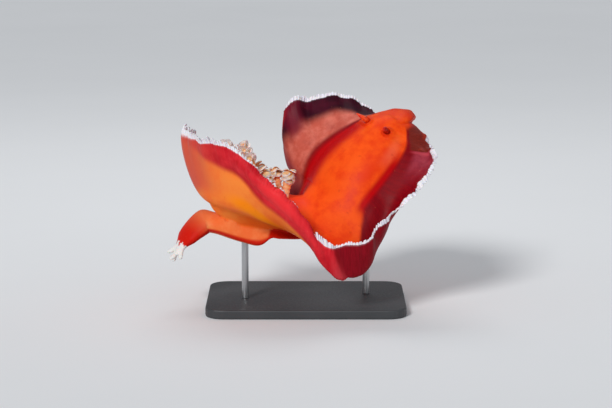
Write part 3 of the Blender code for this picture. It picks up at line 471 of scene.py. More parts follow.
def back_rows(at, q):
    """The back at shares q of the way out, with a collar and a pit for each rhinophore."""
    rise = np.clip(1 - q * q, 0, 1) ** DOME_POWER
    back = (
        at.centre[:, None] + (at.right * (at.sign * at.wide)[:, None])[:, None] * q[None, :, None]
        + (at.dorsal * at.dome[:, None])[:, None] * rise[None, :, None]
    )
    pit = np.zeros(back.shape[:2])
    for _, side, _ in RHINOPHORES:
        base, _ = dorsum(RHINOPHORE_SHARE, side)
        away = np.linalg.norm(back - base, axis=2)
        slope = np.where(away > COLLAR_AT, COLLAR_OUTSIDE, COLLAR_INSIDE)
        rise = COLLAR_HIGH * bump_at(away, COLLAR_AT, slope) - PIT_DEEP * (away < PIT_WIDE)
        back = back + at.dorsal[:, None] * rise[..., None]
        # The pit's dark red, painted as shade in the pit, and half as strong round its collar.
        pit = np.maximum(pit, 1.0 - ramp(away, 1.6, 2.6))
        pit = np.maximum(pit, 0.5 * (1.0 - ramp(away, 2.4, 5.5)))
    return back, pit


def lobe_phase(angles):
    """Phase of the fringe's lobes along the rim, in radians."""
    phase = whole_waves(angles, PLEAT)
    for height, length, start in LOBE_DRIFT:
        phase = phase + height * np.sin(whole_waves(angles, length) + start)
    return phase


def fringe_tips(angles, fringe):
    """How far the fringe reaches past the rim, in shares of FRINGE, and each column's
    place in its lobe: 0 at the middle, 1 at the edge."""
    lobes = round(RIM_LENGTH / PLEAT)
    sizes = np.random.default_rng(SEED).uniform(*LOBE_SIZES, lobes)
    lobe_at = (lobe_phase(angles) / (2 * math.pi)) % lobes
    within = np.abs((lobe_at % 1.0) - 0.5) * 2.0
    notch = np.abs(((2.0 * lobe_at) % 1.0) - 0.5) * 2.0
    slim = between(angles, 108.0, 116.0, 150.0, 156.0)
    size = sizes[np.floor(lobe_at).astype(int) % lobes]
    scallop = (1.0 - within ** (2.2 - slim)) * size - 0.16 * notch**2
    scallop = scallop + 0.12 * np.sin(whole_waves(angles, 9.7) + 0.5)
    tip = fringe[:, 0] * np.clip(1.0 - fringe[:, 2] * (1.0 - scallop), 0.12, None)
    return tip, within


def lift_of(angles, reach):
    """How far the margin is lifted toward the back by ruffles, folds and swellings."""
    lift = 0.0
    for height, length, start, power in RUFFLES:
        lift = lift + height * np.sin(whole_waves(angles, length) + start)[:, None] * reach**power
    near_calm = between(angles, 40.0, 50.0, 84.0, 90.0)
    far_calm = between(angles, 248.0, 256.0, 284.0, 294.0)
    head_calm = bump_at(angles, 159.0, 9.0)
    lift = lift * (1.0 - 0.65 * near_calm - 0.85 * far_calm - 0.8 * head_calm)[:, None]
    # A swelling along the near side's band, with a groove below it.
    band = bump_at(angles, 58.0, 36.0)[:, None]
    lift = lift - 1.3 * band * bump_at(reach, 0.84, 0.18) + 0.9 * band * bump_at(reach, 0.62, 0.13)
    for at_rim, at_middle, height, near, far in FOLDS:
        line = at_rim + (at_middle - at_rim) * np.clip((1.0 - reach) / 0.5, 0, 1)
        off = angles[:, None] - line
        shape = np.where(off < 0, smooth(1 + off / near), smooth(1 - off / far))
        lift = lift + height * shape * ramp(reach, 0.25, 0.6)
    return lift


def margin_faces(at, fringe, want, tip):
    """The margin's upper and lower face, both from the root outward."""
    middle, length = profile_points(at.angles, want)
    reach = np.minimum(want, 1.0)
    beyond = np.clip(want - 1.0, 0.0, None)
    rolled(middle, want, length, np.radians(fringe[:, 1]))
    dorsal_rows = np.broadcast_to(at.dorsal[:, None], middle.shape)
    blend = smooth(reach / 0.2)[..., None]

    def face_way(surface):
        along = np.roll(surface, -1, axis=0) - np.roll(surface, 1, axis=0)
        got = unit(np.cross(np.gradient(surface, axis=1), along))
        return unit(dorsal_rows * (1 - blend) + got * blend)

    middle = middle + face_way(middle) * lift_of(at.angles, reach)[..., None]
    normal = face_way(middle)
    depth = fringe[:, 3:4] * smooth((reach - 0.95) / 0.05) * (0.35 + 0.65 * np.clip(beyond, 0, 1))
    pleats = PLEAT_DEPTH * depth * np.cos(lobe_phase(at.angles))[:, None]
    middle = middle + normal * pleats[..., None]
    thick = ROOT_THICK + (RIM_THICK - ROOT_THICK) * reach
    thick = thick + (TIP_THICK - thick) * np.clip(beyond / tip[:, None], 0, 1) ** 0.8
    return middle + normal * (thick / 2)[..., None], middle - normal * (thick / 2)[..., None]


def belly_rows(at, b):
    """The belly from the margin's root in to the middle line, at shares b of the way."""
    foot = KEEL_SHARE * at.wide
    depth = EDGE_HEIGHT + (at.keel - EDGE_HEIGHT) * smooth(at.end * 1.05)
    inward = np.clip(1.0 - b / BELLY_SPLIT, 0.0, 1.0)
    side = foot[:, None] * np.clip((1.0 - b) / (1.0 - BELLY_SPLIT), 0.0, 1.0)[None, :]
    side = np.where(b[None, :] < BELLY_SPLIT, foot[:, None] + (at.wide - foot)[:, None] * inward, side)
    drop = EDGE_HEIGHT + (depth - EDGE_HEIGHT)[:, None] * (1 - inward[None, :]) ** 1.5
    return (
        at.centre[:, None] + at.right[:, None] * (at.sign[:, None] * side)[..., None]
        - at.dorsal[:, None] * drop[..., None]
    )


def welded_quads(count, rows):
    """Quads of the closed grid, whose two sides share their first and last points, and
    which of the grid's points they use."""
    index = np.arange(count * rows).reshape(count, rows)
    column = np.arange(count)
    mirror = np.where(column <= HALF_COLUMNS, column, 2 * HALF_COLUMNS - column)
    index[:, 0] = index[mirror, 0]
    index[:, -1] = index[mirror, -1]
    after = np.roll(index, -1, axis=0)
    quads = np.stack([index[:, :-1], index[:, 1:], after[:, 1:], after[:, :-1]], axis=-1)
    used = np.unique(quads)
    new = -np.ones(count * rows, int)
    new[used] = np.arange(len(used))
    return new[quads.reshape(-1, 4)], used


def build_skin():
    """Points, quads and per-point facts of the back, margin and belly as one surface."""
    at = columns()
    angles = at.angles
    count = len(angles)
    q = 1.0 - (1.0 - np.linspace(0.0, 1.0, DOME_ROWS)[:-1]) ** 1.5
    back, pit = back_rows(at, q)
    fringe = fringe_at(angles)
    tip, within = fringe_tips(angles, fringe)
    sheet = np.linspace(0.0, 1.0, SHEET_ROWS)
    free = np.linspace(0.0, 1.0, FRINGE_ROWS + 1)[1:]
    want = np.concatenate(
        [np.broadcast_to(sheet, (count, SHEET_ROWS)), 1.0 + free[None, :] * tip[:, None]],
        axis=1,
    )
    upper, lower = margin_faces(at, fringe, want, tip)
    b = np.linspace(0.0, 1.0, BELLY_ROWS + 1)[1:]
    grid = np.concatenate([back, upper, lower[:, ::-1], belly_rows(at, b)], axis=1)

    # Round off the body's edge, widely round the head, and the belly's meeting line.
    edge = DOME_ROWS - 1
    fillet(grid, edge, *FILLETS[0], np.ones(count))
    fillet(grid, edge, *FILLETS[1], inside_of_bend(angles))
    fillet(grid, edge, *FILLETS[2], round_head(angles))
    low, high = (grid.shape[1] - BELLY_ROWS + step for step in (-BELLY_SPREAD, BELLY_SPREAD))
    for _ in range(BELLY_ROUNDS):
        either = grid[:, low - 1 : high - 1] + grid[:, low + 1 : high + 1]
        grid[:, low:high] = 0.5 * grid[:, low:high] + 0.25 * either

    # Facts of each point: zone 0 the back, 1 and 2 the margin's faces, 3 the belly.
    rows = grid.shape[1]
    blank = np.zeros((count, BELLY_ROWS))
    over = np.clip(want - 1.0, 0.0, None) / tip[:, None]
    zone = np.repeat((0, 1, 2, 3), (len(q), want.shape[1], want.shape[1], BELLY_ROWS))
    q_rows, b_rows = np.tile(q, (count, 1)), np.tile(b, (count, 1))
    across = np.concatenate([q_rows, want, want[:, ::-1], b_rows], axis=1)
    pits = np.concatenate([pit, 0 * want, 0 * want, blank], axis=1)
    tip_share = np.concatenate([0 * pit, over, over[:, ::-1], blank], axis=1)

    quads, used = welded_quads(count, rows)

    def pick(values):
        return np.broadcast_to(values, (count, rows)).reshape(-1)[used]

    table = {
        "angle": pick(angles[:, None]),
        "share": pick(at.share[:, None]),
        "zone": pick(zone[None, :]),
        "across": pick(across),
        "tip": pick(tip_share),
        "pleat": pick(within[:, None]),
        "pit": pick(pits),
    }
    return grid.reshape(-1, 3)[used], quads, table


def rolled(middle, want, length, turn):
    """Bend the margin's outermost part over by an angle in radians, in place."""
    start = ROLL_FROM * (length - FRINGE)
    run = np.where(
        want <= 1.0, want * (length - FRINGE)[:, None],
        (length - FRINGE)[:, None] + (want - 1.0) * FRINGE,
    )
    past = np.clip(run - start[:, None], 0.0, None)
    whole = past.max(axis=1, keepdims=True)
    turn = np.where(np.abs(turn) < 0.01, 0.01, turn)[:, None]
    first = int(ROLL_FROM * (SHEET_ROWS - 1))
    out = unit(middle[:, first + 1] - middle[:, first - 1])
    along = np.roll(middle[:, first], -1, axis=0) - np.roll(middle[:, first], 1, axis=0)
    up = unit(np.cross(out, along))
    bent = past / whole * turn
    outward = whole / turn * np.sin(bent) - past
    upward = whole / turn * (1.0 - np.cos(bent))
    middle += out[:, None] * outward[..., None] + up[:, None] * upward[..., None]


def round_head(angles):
    """Where the back runs on into the margin with no crease."""
    return between(angles, 134.0, 150.0, 206.0, 226.0)


def inside_of_bend(angles):
    """Where the near side of the back is folded up in the body's bend."""
    return between(angles, 60.0, 74.0, 104.0, 116.0)


def fillet(grid, row, inner, outer, weight):
    """Swap the rows round one row for a smooth curve between those beyond them."""
    lo, hi = row - inner, row + outer
    part = grid[:, lo : hi + 1]
    run = run_along(part)
    size = np.linalg.norm(part[:, -1] - part[:, 0], axis=1)[:, None, None]
    t = (run / run[:, -1:])[..., None]
    start = unit(grid[:, lo] - grid[:, lo - 2])[:, None] * size
    end = unit(grid[:, hi + 2] - grid[:, hi])[:, None] * size
    smoother = curve(part[:, :1], start, part[:, -1:], end, t)
    grid[:, lo : hi + 1] = part + weight[:, None, None] * (smoother - part)


def dorsum(share, side):
    """A point on the back and the way out of it."""
    share, side = float(share), float(side)
    wide, dome, _, _ = (float(v) for v in girth(share))
    centre, _, right, dorsal = frames(share)
    rise = dome * max(0.0, 1 - (side / wide) ** 2) ** DOME_POWER
    return centre + right * side + dorsal * rise, dorsal


def underside(share, side):
    """A point on the belly and the way out of it."""
    share, side = float(share), float(side)
    wide, _, keel, end = (float(v) for v in girth(share))
    centre, _, right, dorsal = frames(share)
    foot = KEEL_SHARE * wide
    depth = EDGE_HEIGHT + (keel - EDGE_HEIGHT) * float(smooth(end * 1.05))
    a = min(1.0, max(0.0, (abs(side) - foot) / (wide - foot)))
    drop = EDGE_HEIGHT + (depth - EDGE_HEIGHT) * (1 - a) ** 1.5
    return centre + right * side - dorsal * drop, -dorsal


def foot_run(steps, tail_steps):
    """Top point, right, up, half width, thickness and place of each of the foot's rings."""
    foot = np.array(FOOT_SIZES, float)
    rows = []
    for share in np.linspace(FOOT_FRONT, FOOT_REAR, steps):
        keel = float(girth(share)[2])
        centre, _, right, dorsal = frames(share)
        half, thick = through(foot[:, 0], foot[:, 1:], [share])[0]
        rows.append((centre - dorsal * (keel + ROOT_GAP), right, dorsal, half, thick, share))
    start = rows[-1]
    keys = np.linspace(0, 1, len(ARM) + 1)
    tail = np.array(ARM, float)
    spots = np.concatenate([[start[0]], place(tail[:, :3])])
    rights = np.concatenate([[start[1]], unit(tail[:, 3:6])])
    sizes = np.concatenate([[[start[3], start[4]]], tail[:, 6:8]])
    for t in np.linspace(0, 1, tail_steps)[1:]:
        spot = through(keys, spots, [t])[0]
        way = unit(through(keys, spots, [min(1, t + 0.02)])[0] - through(keys, spots, [t - 0.02])[0])
        right = through(keys, rights, [t])[0]
        right = unit(right - (right @ way) * way)
        half, thick = through(keys, sizes, [t])[0]
        rows.append((spot, right, np.cross(way, right), half, thick, -t))
    path, rights, ups = (np.array([row[k] for row in rows]) for k in range(3))
    for line in (path, rights, ups):
        for _ in range(FOOT_SMOOTHING):
            line[1:-1] += 0.25 * (line[:-2] - 2.0 * line[1:-1] + line[2:])
    return [(*three, *row[3:]) for three, row in zip(zip(path, unit(rights), unit(ups)), rows)]


def loft(rings):
    """Points and faces of a closed loft of equal rings, capped by fans."""
    rings = np.asarray(rings)
    count, around = rings.shape[:2]
    i = np.arange(count - 1)[:, None] * around
    j = np.arange(around)[None, :]
    k = (j + 1) % around
    quads = np.stack([i + j, i + k, i + around + k, i + around + j], -1).reshape(-1, 4)
    points = rings.reshape(-1, 3)
    first, last = len(points), len(points) + 1
    points = np.concatenate([points, rings[[0, -1]].mean(axis=1)])
    base = (count - 1) * around
    faces = quads.tolist()
    for j in range(around):
        k = (j + 1) % around
        faces.append([first, k, j])
        faces.append([last, base + j, base + k])
    return points, faces


def build_foot():
    """The foot and its free tail, rounded off at both ends."""
    rows = foot_run(FOOT_STEPS, ARM_STEPS)
    outline = np.array(FOOT_OUTLINE, float)
    keys = run_along(outline)
    right_half = through(keys / keys[-1], outline, np.linspace(0, 1, 26))
    whole = np.concatenate([right_half, right_half[-2:0:-1] * [-1, 1]])
    turn = 2.0 * math.pi * np.arange(len(whole)) / len(whole)
    oval = np.stack([np.sin(turn), 0.5 - 0.5 * np.cos(turn)], axis=1)
    total = len(rows)
    rings = []
    for i, (spot, right, up, half, thick, t) in enumerate(rows):
        size = 1.0
        for steps in (i + 0.3, total - i - 0.7):
            size *= math.sqrt(1 - (1 - min(1.0, steps / FOOT_ROUND)) ** 2)
        free = float(smooth((0.20 - t) / 0.50))
        y, z = (whole + free * (oval - whole)).T[..., None]
        z = 0.5 * (1.0 - size) + z * size
        rings.append(spot + right * (y * half * size) - up * (z * thick))
    points, faces = loft(rings)
    facts = np.zeros((len(points), 2))
    t_row = np.array([r[5] for r in rows])
    facts[:-2, 0] = np.repeat(t_row, len(whole))
    facts[:-2, 1] = np.tile(np.abs(whole[:, 0]), total)
    facts[-2:, 0] = t_row[[0, -1]]
    return points, faces, facts, rows


def finger(root, way, across, length, width, thick, bend, source, steps=14, around=12):
    """A soft blunt finger with a slightly lumpy surface."""
    way = unit(way)
    across = unit(across - (across @ way) * way)
    face = np.cross(way, across)
    turns = (np.arange(around) * 2 * math.pi / around)[:, None]
    lumps = source.uniform(0.85, 1.15, steps)
    lumps[[0, -1]] = 1.0
    rings = []
    for lump, t in zip(lumps, np.linspace(0, 1, steps)):
        round_off = math.sqrt(max(0.02, 1 - max(0.0, (t - 0.72) / 0.28) ** 2))
        body = (1.0 - 0.25 * t) * round_off * lump
        spot = root + way * (length * t) + bend * (t * t * length)
        rings.append(
            spot + across * (np.cos(turns) * width * body) + face * (np.sin(turns) * thick * body)
        )
    return loft(rings)


def mesh_piece(name, points_mm, faces):
    """A new object from points in the camera's directions, in millimetres."""
    mesh = bpy.data.meshes.new(name)
    mesh.from_pydata((to_world(points_mm) * MM).tolist(), [], [list(f) for f in faces])
    made = bpy.data.objects.new(name, mesh)
    bpy.context.scene.collection.objects.link(made)
    return made


def dress(piece, look, slot, *nodes):
    """Give a piece its material and say what it rides on and which solids it replaces."""
    piece.data.shade_smooth()
    piece.data.materials.clear()
    piece.data.materials.append(look)
    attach(piece, "root")
    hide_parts(*nodes)


def face_out(piece):
    """Turn a closed piece's faces outward, told by the sign of its volume."""
    mesh = piece.data
    mesh.calc_loop_triangles()
    corners = np.empty(len(mesh.loop_triangles) * 3, np.int32)
    mesh.loop_triangles.foreach_get("vertices", corners)
    p = mesh_points(mesh)[corners.reshape(-1, 3)].astype(float)
    p -= p.mean(axis=(0, 1))
    if np.linalg.det(p).sum() < 0:
        mesh.flip_normals()


def union(host, parts):
    """Join parts into host as one closed surface."""
    group = bpy.data.collections.new("joining")
    for part in parts:
        face_out(part)
        bpy.context.scene.collection.objects.unlink(part)
        group.objects.link(part)
    bpy.context.scene.collection.children.link(group)
    cut = host.modifiers.new("union", "BOOLEAN")
    cut.operation = "UNION"
    cut.operand_type = "COLLECTION"
    cut.collection = group
    cut.solver = "MANIFOLD"
    graph = bpy.context.evaluated_depsgraph_get()
    joined = bpy.data.meshes.new_from_object(host.evaluated_get(graph))
    host.modifiers.remove(cut)
    host.data = joined
    for part in parts:
        bpy.data.objects.remove(part, do_unlink=True)
    bpy.data.collections.remove(group)


def mesh_points(mesh):
    points = np.empty(len(mesh.vertices) * 3, np.float32)
    mesh.vertices.foreach_get("co", points)
    return points.reshape(-1, 3)


def nearest(points, wanted):
    """Index of the nearest of points for each wanted one."""
    tree = KDTree(len(points))
    for i, p in enumerate(points):
        tree.insert(p, i)
    tree.balance()
    return np.array([tree.find(p)[1] for p in wanted])


def put(mesh, name, values):
    layer = mesh.attributes.new(name, "FLOAT", "POINT")
    layer.data.foreach_set("value", np.ascontiguousarray(values, np.float32))


def put_vector(mesh, name, values):
    layer = mesh.attributes.new(name, "FLOAT_VECTOR", "POINT")
    layer.data.foreach_set("vector", np.ascontiguousarray(values, np.float32).ravel())


def edges_of(mesh):
    """The two ends of every edge."""
    pairs = np.empty(len(mesh.edges) * 2, np.int32)
    mesh.edges.foreach_get("vertices", pairs)
    return pairs.reshape(-1, 2).T


def soften(mesh, weights, rounds):
    """Move points toward their neighbours' middle, by their weights."""
    a, b = edges_of(mesh)
    busy = (weights[a] > 0) | (weights[b] > 0)
    used, local = np.unique(np.stack([a[busy], b[busy]]), return_inverse=True)
    a, b = local.reshape(2, -1)
    count = len(used)
    whole = mesh_points(mesh).astype(float)
    points = whole[used]
    strength = 0.6 * weights[used][:, None]
    degree = np.maximum(np.bincount(a, minlength=count) + np.bincount(b, minlength=count), 1)
    for _ in range(rounds):
        total = [
            np.bincount(a, points[b, k], count) + np.bincount(b, points[a, k], count)
            for k in range(3)
        ]
        points += strength * (np.stack(total, axis=1) / degree[:, None] - points)
    whole[used] = points
    mesh.vertices.foreach_set("co", whole.astype(np.float32).ravel())
    mesh.update()


def srgb(text):
    """The shader's red, green and blue for six hex digits."""
    parts = [int(text[i : i + 2], 16) / 255 for i in (0, 2, 4)]
    return [(c / 12.92 if c <= 0.04045 else ((c + 0.055) / 1.055) ** 2.4) for c in parts]


class Nodes:
    """Short calls for building one material's nodes."""

    def __init__(self, name):
        self.material = bpy.data.materials.new(name)
        self.material.use_nodes = True
        self.tree = self.material.node_tree
        self.shader = self.tree.nodes["Principled BSDF"]

    def add(self, kind, **settings):
        node = self.tree.nodes.new(kind)
        for key, value in settings.items():
            setattr(node, key, value)
        return node

    def link(self, start, end):
        self.tree.links.new(start, end)

    def attribute(self, name):
        return self.add("ShaderNodeAttribute", attribute_name=name)

    def noise(self, vector, scale, detail=3.0, rough=0.55):
        node = self.add("ShaderNodeTexNoise")
        node.inputs["Scale"].default_value = scale
        node.inputs["Detail"].default_value = detail
        node.inputs["Roughness"].default_value = rough
        self.link(vector, node.inputs["Vector"])
        return node.outputs["Fac"]

    def here(self):
        return self.add("ShaderNodeTexCoord").outputs["Object"]

    def stretched(self, vector, scale, turn=(0.0, 0.0, 0.0)):
        """Coordinates scaled and turned, for a texture drawn out one way."""
        node = self.add("ShaderNodeMapping")
        node.inputs["Scale"].default_value = scale
        node.inputs["Rotation"].default_value = turn
        self.link(vector, node.inputs["Vector"])
        return node.outputs["Vector"]

    def math(self, operation, a, b=None, c=None, clamp=False):
        node = self.add("ShaderNodeMath", operation=operation, use_clamp=clamp)
        for slot, value in zip(node.inputs, (a, b, c)):
            if value is None:
                continue
            if isinstance(value, (int, float)):
                slot.default_value = value
            else:
                self.link(value, slot)
        return node.outputs[0]

    def remap(self, value, low, high, to_low=0.0, to_high=1.0):
        node = self.add("ShaderNodeMapRange")
        node.interpolation_type = "SMOOTHSTEP"
        node.clamp = True
        for key, number in zip(("From Min", "From Max", "To Min", "To Max"), (low, high, to_low, to_high)):
            node.inputs[key].default_value = number
        self.link(value, node.inputs["Value"])
        return node.outputs["Result"]

    def mix(self, factor, a, b):
        """One colour or another; a colour is a socket, three numbers or six hex digits."""
        node = self.add("ShaderNodeMix", data_type="RGBA")
        self.link(factor, node.inputs["Factor"])
        for slot, value in ((node.inputs[6], a), (node.inputs[7], b)):
            value = srgb(value) if isinstance(value, str) else value
            if isinstance(value, (list, tuple)):
                slot.default_value = (*value[:3], 1.0)
            else:
                self.link(value, slot)
        return node.outputs[2]

    def bump(self, height, strength, distance):
        node = self.add("ShaderNodeBump")
        node.inputs["Strength"].default_value = strength
        node.inputs["Distance"].default_value = distance
        self.link(height, node.inputs["Height"])
        self.link(node.outputs["Normal"], self.shader.inputs["Normal"])

    def mask(self, name, strength=1.0, texture=None, wander=0.0, low=0.0, high=1.0):
        """A mask kept on the mesh; with a wander, a texture moves its edge."""
        got = self.attribute(name).outputs["Fac"]
        if wander:
            off = self.math("SUBTRACT", texture, 0.5)
            got = self.remap(self.math("MULTIPLY_ADD", off, wander, got, clamp=True), low, high)
        return got if strength == 1.0 else self.math("MULTIPLY", got, strength)

    def paint(self, colour, rough):
        """Give the shader its colour and roughness."""
        self.link(colour, self.shader.inputs["Base Color"])
        self.link(rough, self.shader.inputs["Roughness"])

    def set(self, **values):
        """Set some of the shader's plain numbers."""
        names = {
            "subsurface": "Subsurface Weight", "scale": "Subsurface Scale",
            "radius": "Subsurface Radius", "specular": "Specular IOR Level",
            "roughness": "Roughness", "metallic": "Metallic",
        }
        for key, value in values.items():
            self.shader.inputs[names[key]].default_value = value


def fringe_masks(at):
    """The fringe, white but for painted shade, lavender, in the valleys between its lobes."""
    hidden = ramp(np.abs(fringe_at(at.angle)[:, 1]), 40.0, 130.0)
    white_from = 0.985 + 0.30 * hidden + 1.5 * bump_at(at.angle, 161.0, 7.0) - 0.05 * at.tail
    white_from = white_from - 0.05 * between(at.angle, 108.0, 118.0, 150.0, 158.0)
    fringe = smooth((at.beyond - white_from) / 0.07)
    valley_shade = at.pleat**1.5 * (0.55 + 0.45 * (1 - at.tip)) * (1 - 0.6 * at.tail)
    return {"fringe": fringe, "valley_shade": fringe * valley_shade}


def back_masks(at):
    """The back: vivid orange in the middle, red toward its left side and over the bend; that red is partly
    its own and partly painted shade where the back curves away and in the groove at the margin's root.
    """
    side = np.where(at.zone == 0, at.across, 1.0)
    left_red = ramp(side, 0.20, 0.86) * (1 - at.right) * (1 - 0.8 * ramp(at.share, 0.84, 0.95))
    left_red = left_red * ramp(at.share, 0.24, 0.44)
    right_red = ramp(side, 0.84, 1.0) * at.right * between(at.share, 0.55, 0.61, 0.80, 0.92)
    # painted shade in the groove where the margin's upper face leaves the back
    root_groove_shade = at.upper * (1 - ramp(at.reach, 0.08, 0.20))
    pink = at.right * bump_at(side, 0.82, 0.22) * bump_at(at.share, 0.86, 0.10)
    return {
        "red_and_edge_shade": (at.back + root_groove_shade) * np.maximum(left_red, right_red),
        "warm": at.back * (1 - ramp(at.share, 0.34, 0.50)),
        "pink": at.back * pink,
        "pit": at.pit,
    }


def upper_masks(at):
    """The margin's upper face: crimson, painted shade in the hollow beside the head with a painted
    highlight on the ridge before it, salmon and maroon on the petal.
    """
    angle, reach = at.angle, at.reach
    head_top = between(angle, 156.0, 162.0, 196.0, 212.0)
    start = np.interp(angle, *np.array(CRIMSON_FROM, float).T)
    past_line = angle - 142.0 - 6.0 * reach
    # painted shade: the hollow beside the head, dark brownish red
    shaded_hollow = ramp(past_line, 0.0, 0.9) * (1 - ramp(angle, 156.0, 162.0))
    petal = between(angle, 198.0, 213.0, 256.0, 284.0) * (1 - 0.25 * ramp(angle, 258.0, 268.0))
    outer = 0.64 - 0.26 * (1 - ramp(angle, 206.0, 230.0)) + 0.21 * ramp(angle, 252.0, 262.0)
    maroon = between(angle, 194.0, 210.0, 256.0, 274.0)
    masks = {
        "crimson_in": (1 - head_top) * ramp(reach - start, 0.0, 0.12),
        "lilac": at.tail * ramp(reach, 0.62, 0.80),
        "shaded_hollow": shaded_hollow * ramp(reach, 0.02, 0.24),
        # painted highlight along the ridge at the hollow's edge
        "ridge_highlight": bump_at(past_line, -0.7, 1.5) * ramp(reach, 0.1, 0.3),
        "head_red": head_top * ramp(reach, 0.0, 0.55),
        "salmon": petal * ramp(reach, 0.10, 0.28),
        "maroon": maroon * smooth((reach - outer + 0.19) / 0.36),
        "rolled": between(angle, 251.0, 257.0, 280.0, 292.0) * ramp(reach, 0.85, 0.93),
    }
    # Patches: angle at the middle, half their width, and where they begin and are full.
    for name, middle, half, begin, full in (
        ("mauve", 144.0, 30.0, 0.14, 0.42),
        ("glow", 158.0, 7.0, 0.72, 0.92),
        ("wine", 251.0, 6.5, 0.48, 0.62),
        ("blood", 268.0, 13.0, 0.22, 0.60),
    ):
        masks[name] = bump_at(angle, middle, half) * ramp(reach, begin, full)
    return {name: at.upper * mask for name, mask in masks.items()}


def lower_masks(at):
    """The margin's lower face: orange near the body, a golden streak, then crimson; with painted shade in
    the groove, under the band and past the front fold, and painted highlights on the band and the fold's
    crest.
    """
    angle, reach = at.angle, at.reach
    border = 0.90 - 0.28 * ramp(angle, 10.0, 44.0) - 0.14 * ramp(angle, 44.0, 66.0)
    border = border + 0.42 * ramp(angle, 318.0, 352.0)
    streak = bump_at(reach, 0.20 - 0.12 * ramp(angle, 50.0, 76.0), 0.22)
    dust = bump_at(angle, 0.0, 52.0) + bump_at(angle, 360.0, 40.0)
    past_fold = angle - 87.7 - 3.1 * np.clip((1.0 - reach) / 0.5, 0, 1)
    front = ramp(past_fold, -0.8, 2.0) * (1 - ramp(angle, 106.0, 114.0))
    masks = {
        "crimson": smooth((reach - border + 0.08) / 0.20),
        # painted shadow: a dark line in the crease under the crimson band
        "crease_shadow_line": bump_at(reach, border + 0.06, 0.10) * bump_at(angle, 52.0, 24.0),
        "streak": streak * bump_at(angle, 58.0, 34.0),
        # painted shade: darker orange in the groove between the margin's underside and the foot
        "groove_shade": between(angle, 60.0, 72.0, 84.0, 90.0) * (1 - ramp(reach, 0.22, 0.40)),
        # painted highlight on the crimson band toward the bend
        "band_highlight": bump_at(angle, 71.0, 13.0) * ramp(reach, 0.5, 0.75),
        "dust": dust * ramp(reach, 0.05, 0.40),
        # painted shade: dark crimson on the far side of the front fold
        "fold_shade": front * ramp(reach, 0.25, 0.5),
        # painted highlight on the crest of the front fold
        "crest_highlight": bump_at(past_fold, -0.5, 2.2) * bump_at(reach, 0.60, 0.34),
    }
    masks = {name: at.lower * mask for name, mask in masks.items()}
    # the same painted shade on the belly beside the foot
    masks["groove_shade"] = masks["groove_shade"] + at.belly * bump_at(angle, 60.0, 34.0)
    masks["under"] = at.lower + at.belly
    masks["foot_shade"] = at.belly * bump_at(at.share, 0.40, 0.14)
    return masks


def masks_for(table):
    """Where each of the skin's colours lies, from the way round, across and along."""
    at = SimpleNamespace(**table)
    at.back, at.upper, at.lower, at.belly = ((at.zone == k).astype(float) for k in range(4))
    at.right = (at.angle <= 180.0).astype(float)
    at.tail = np.clip(bump_at(at.angle, 0.0, 30.0) + bump_at(at.angle, 360.0, 40.0), 0, 1)
    at.beyond = at.across * (at.upper + at.lower)
    at.reach = np.minimum(at.beyond, 1.0)
    smoothed = at.back * ramp(at.across, 0.40, 0.75) + at.upper * (1 - ramp(at.reach, 0.22, 0.42))
    masks = {"smoothed": smoothed * round_head(at.angle)}
    for some in (fringe_masks, back_masks, upper_masks, lower_masks):
        masks.update(some(at))
    return {name: np.clip(mask, 0.0, 1.0) for name, mask in masks.items()}


def make_tail_lobes(rows):
    """White lobes fanned out over the end of the foot's tail, and their points."""
    source = np.random.default_rng(SEED + 3)
    spot, right, up, half, thick, _ = rows[-1]
    way = unit(rows[-1][0] - rows[-6][0])
    lobes = []
    for i, (place_across, swing, rise, length) in enumerate(TAIL_LOBES):
        lean = unit(way + swing * right + rise * up)
        root = spot + right * place_across * half * 0.8 - up * thick * 0.5 - lean * 5.0
        pts, faces = finger(
            root, lean, np.cross(lean, up), length + 4.5, 3.3, 2.5, 0.15 * rise * up, source
        )
        lobes.append((mesh_piece(f"tail_lobe_{i}", pts, faces), pts))
    return lobes


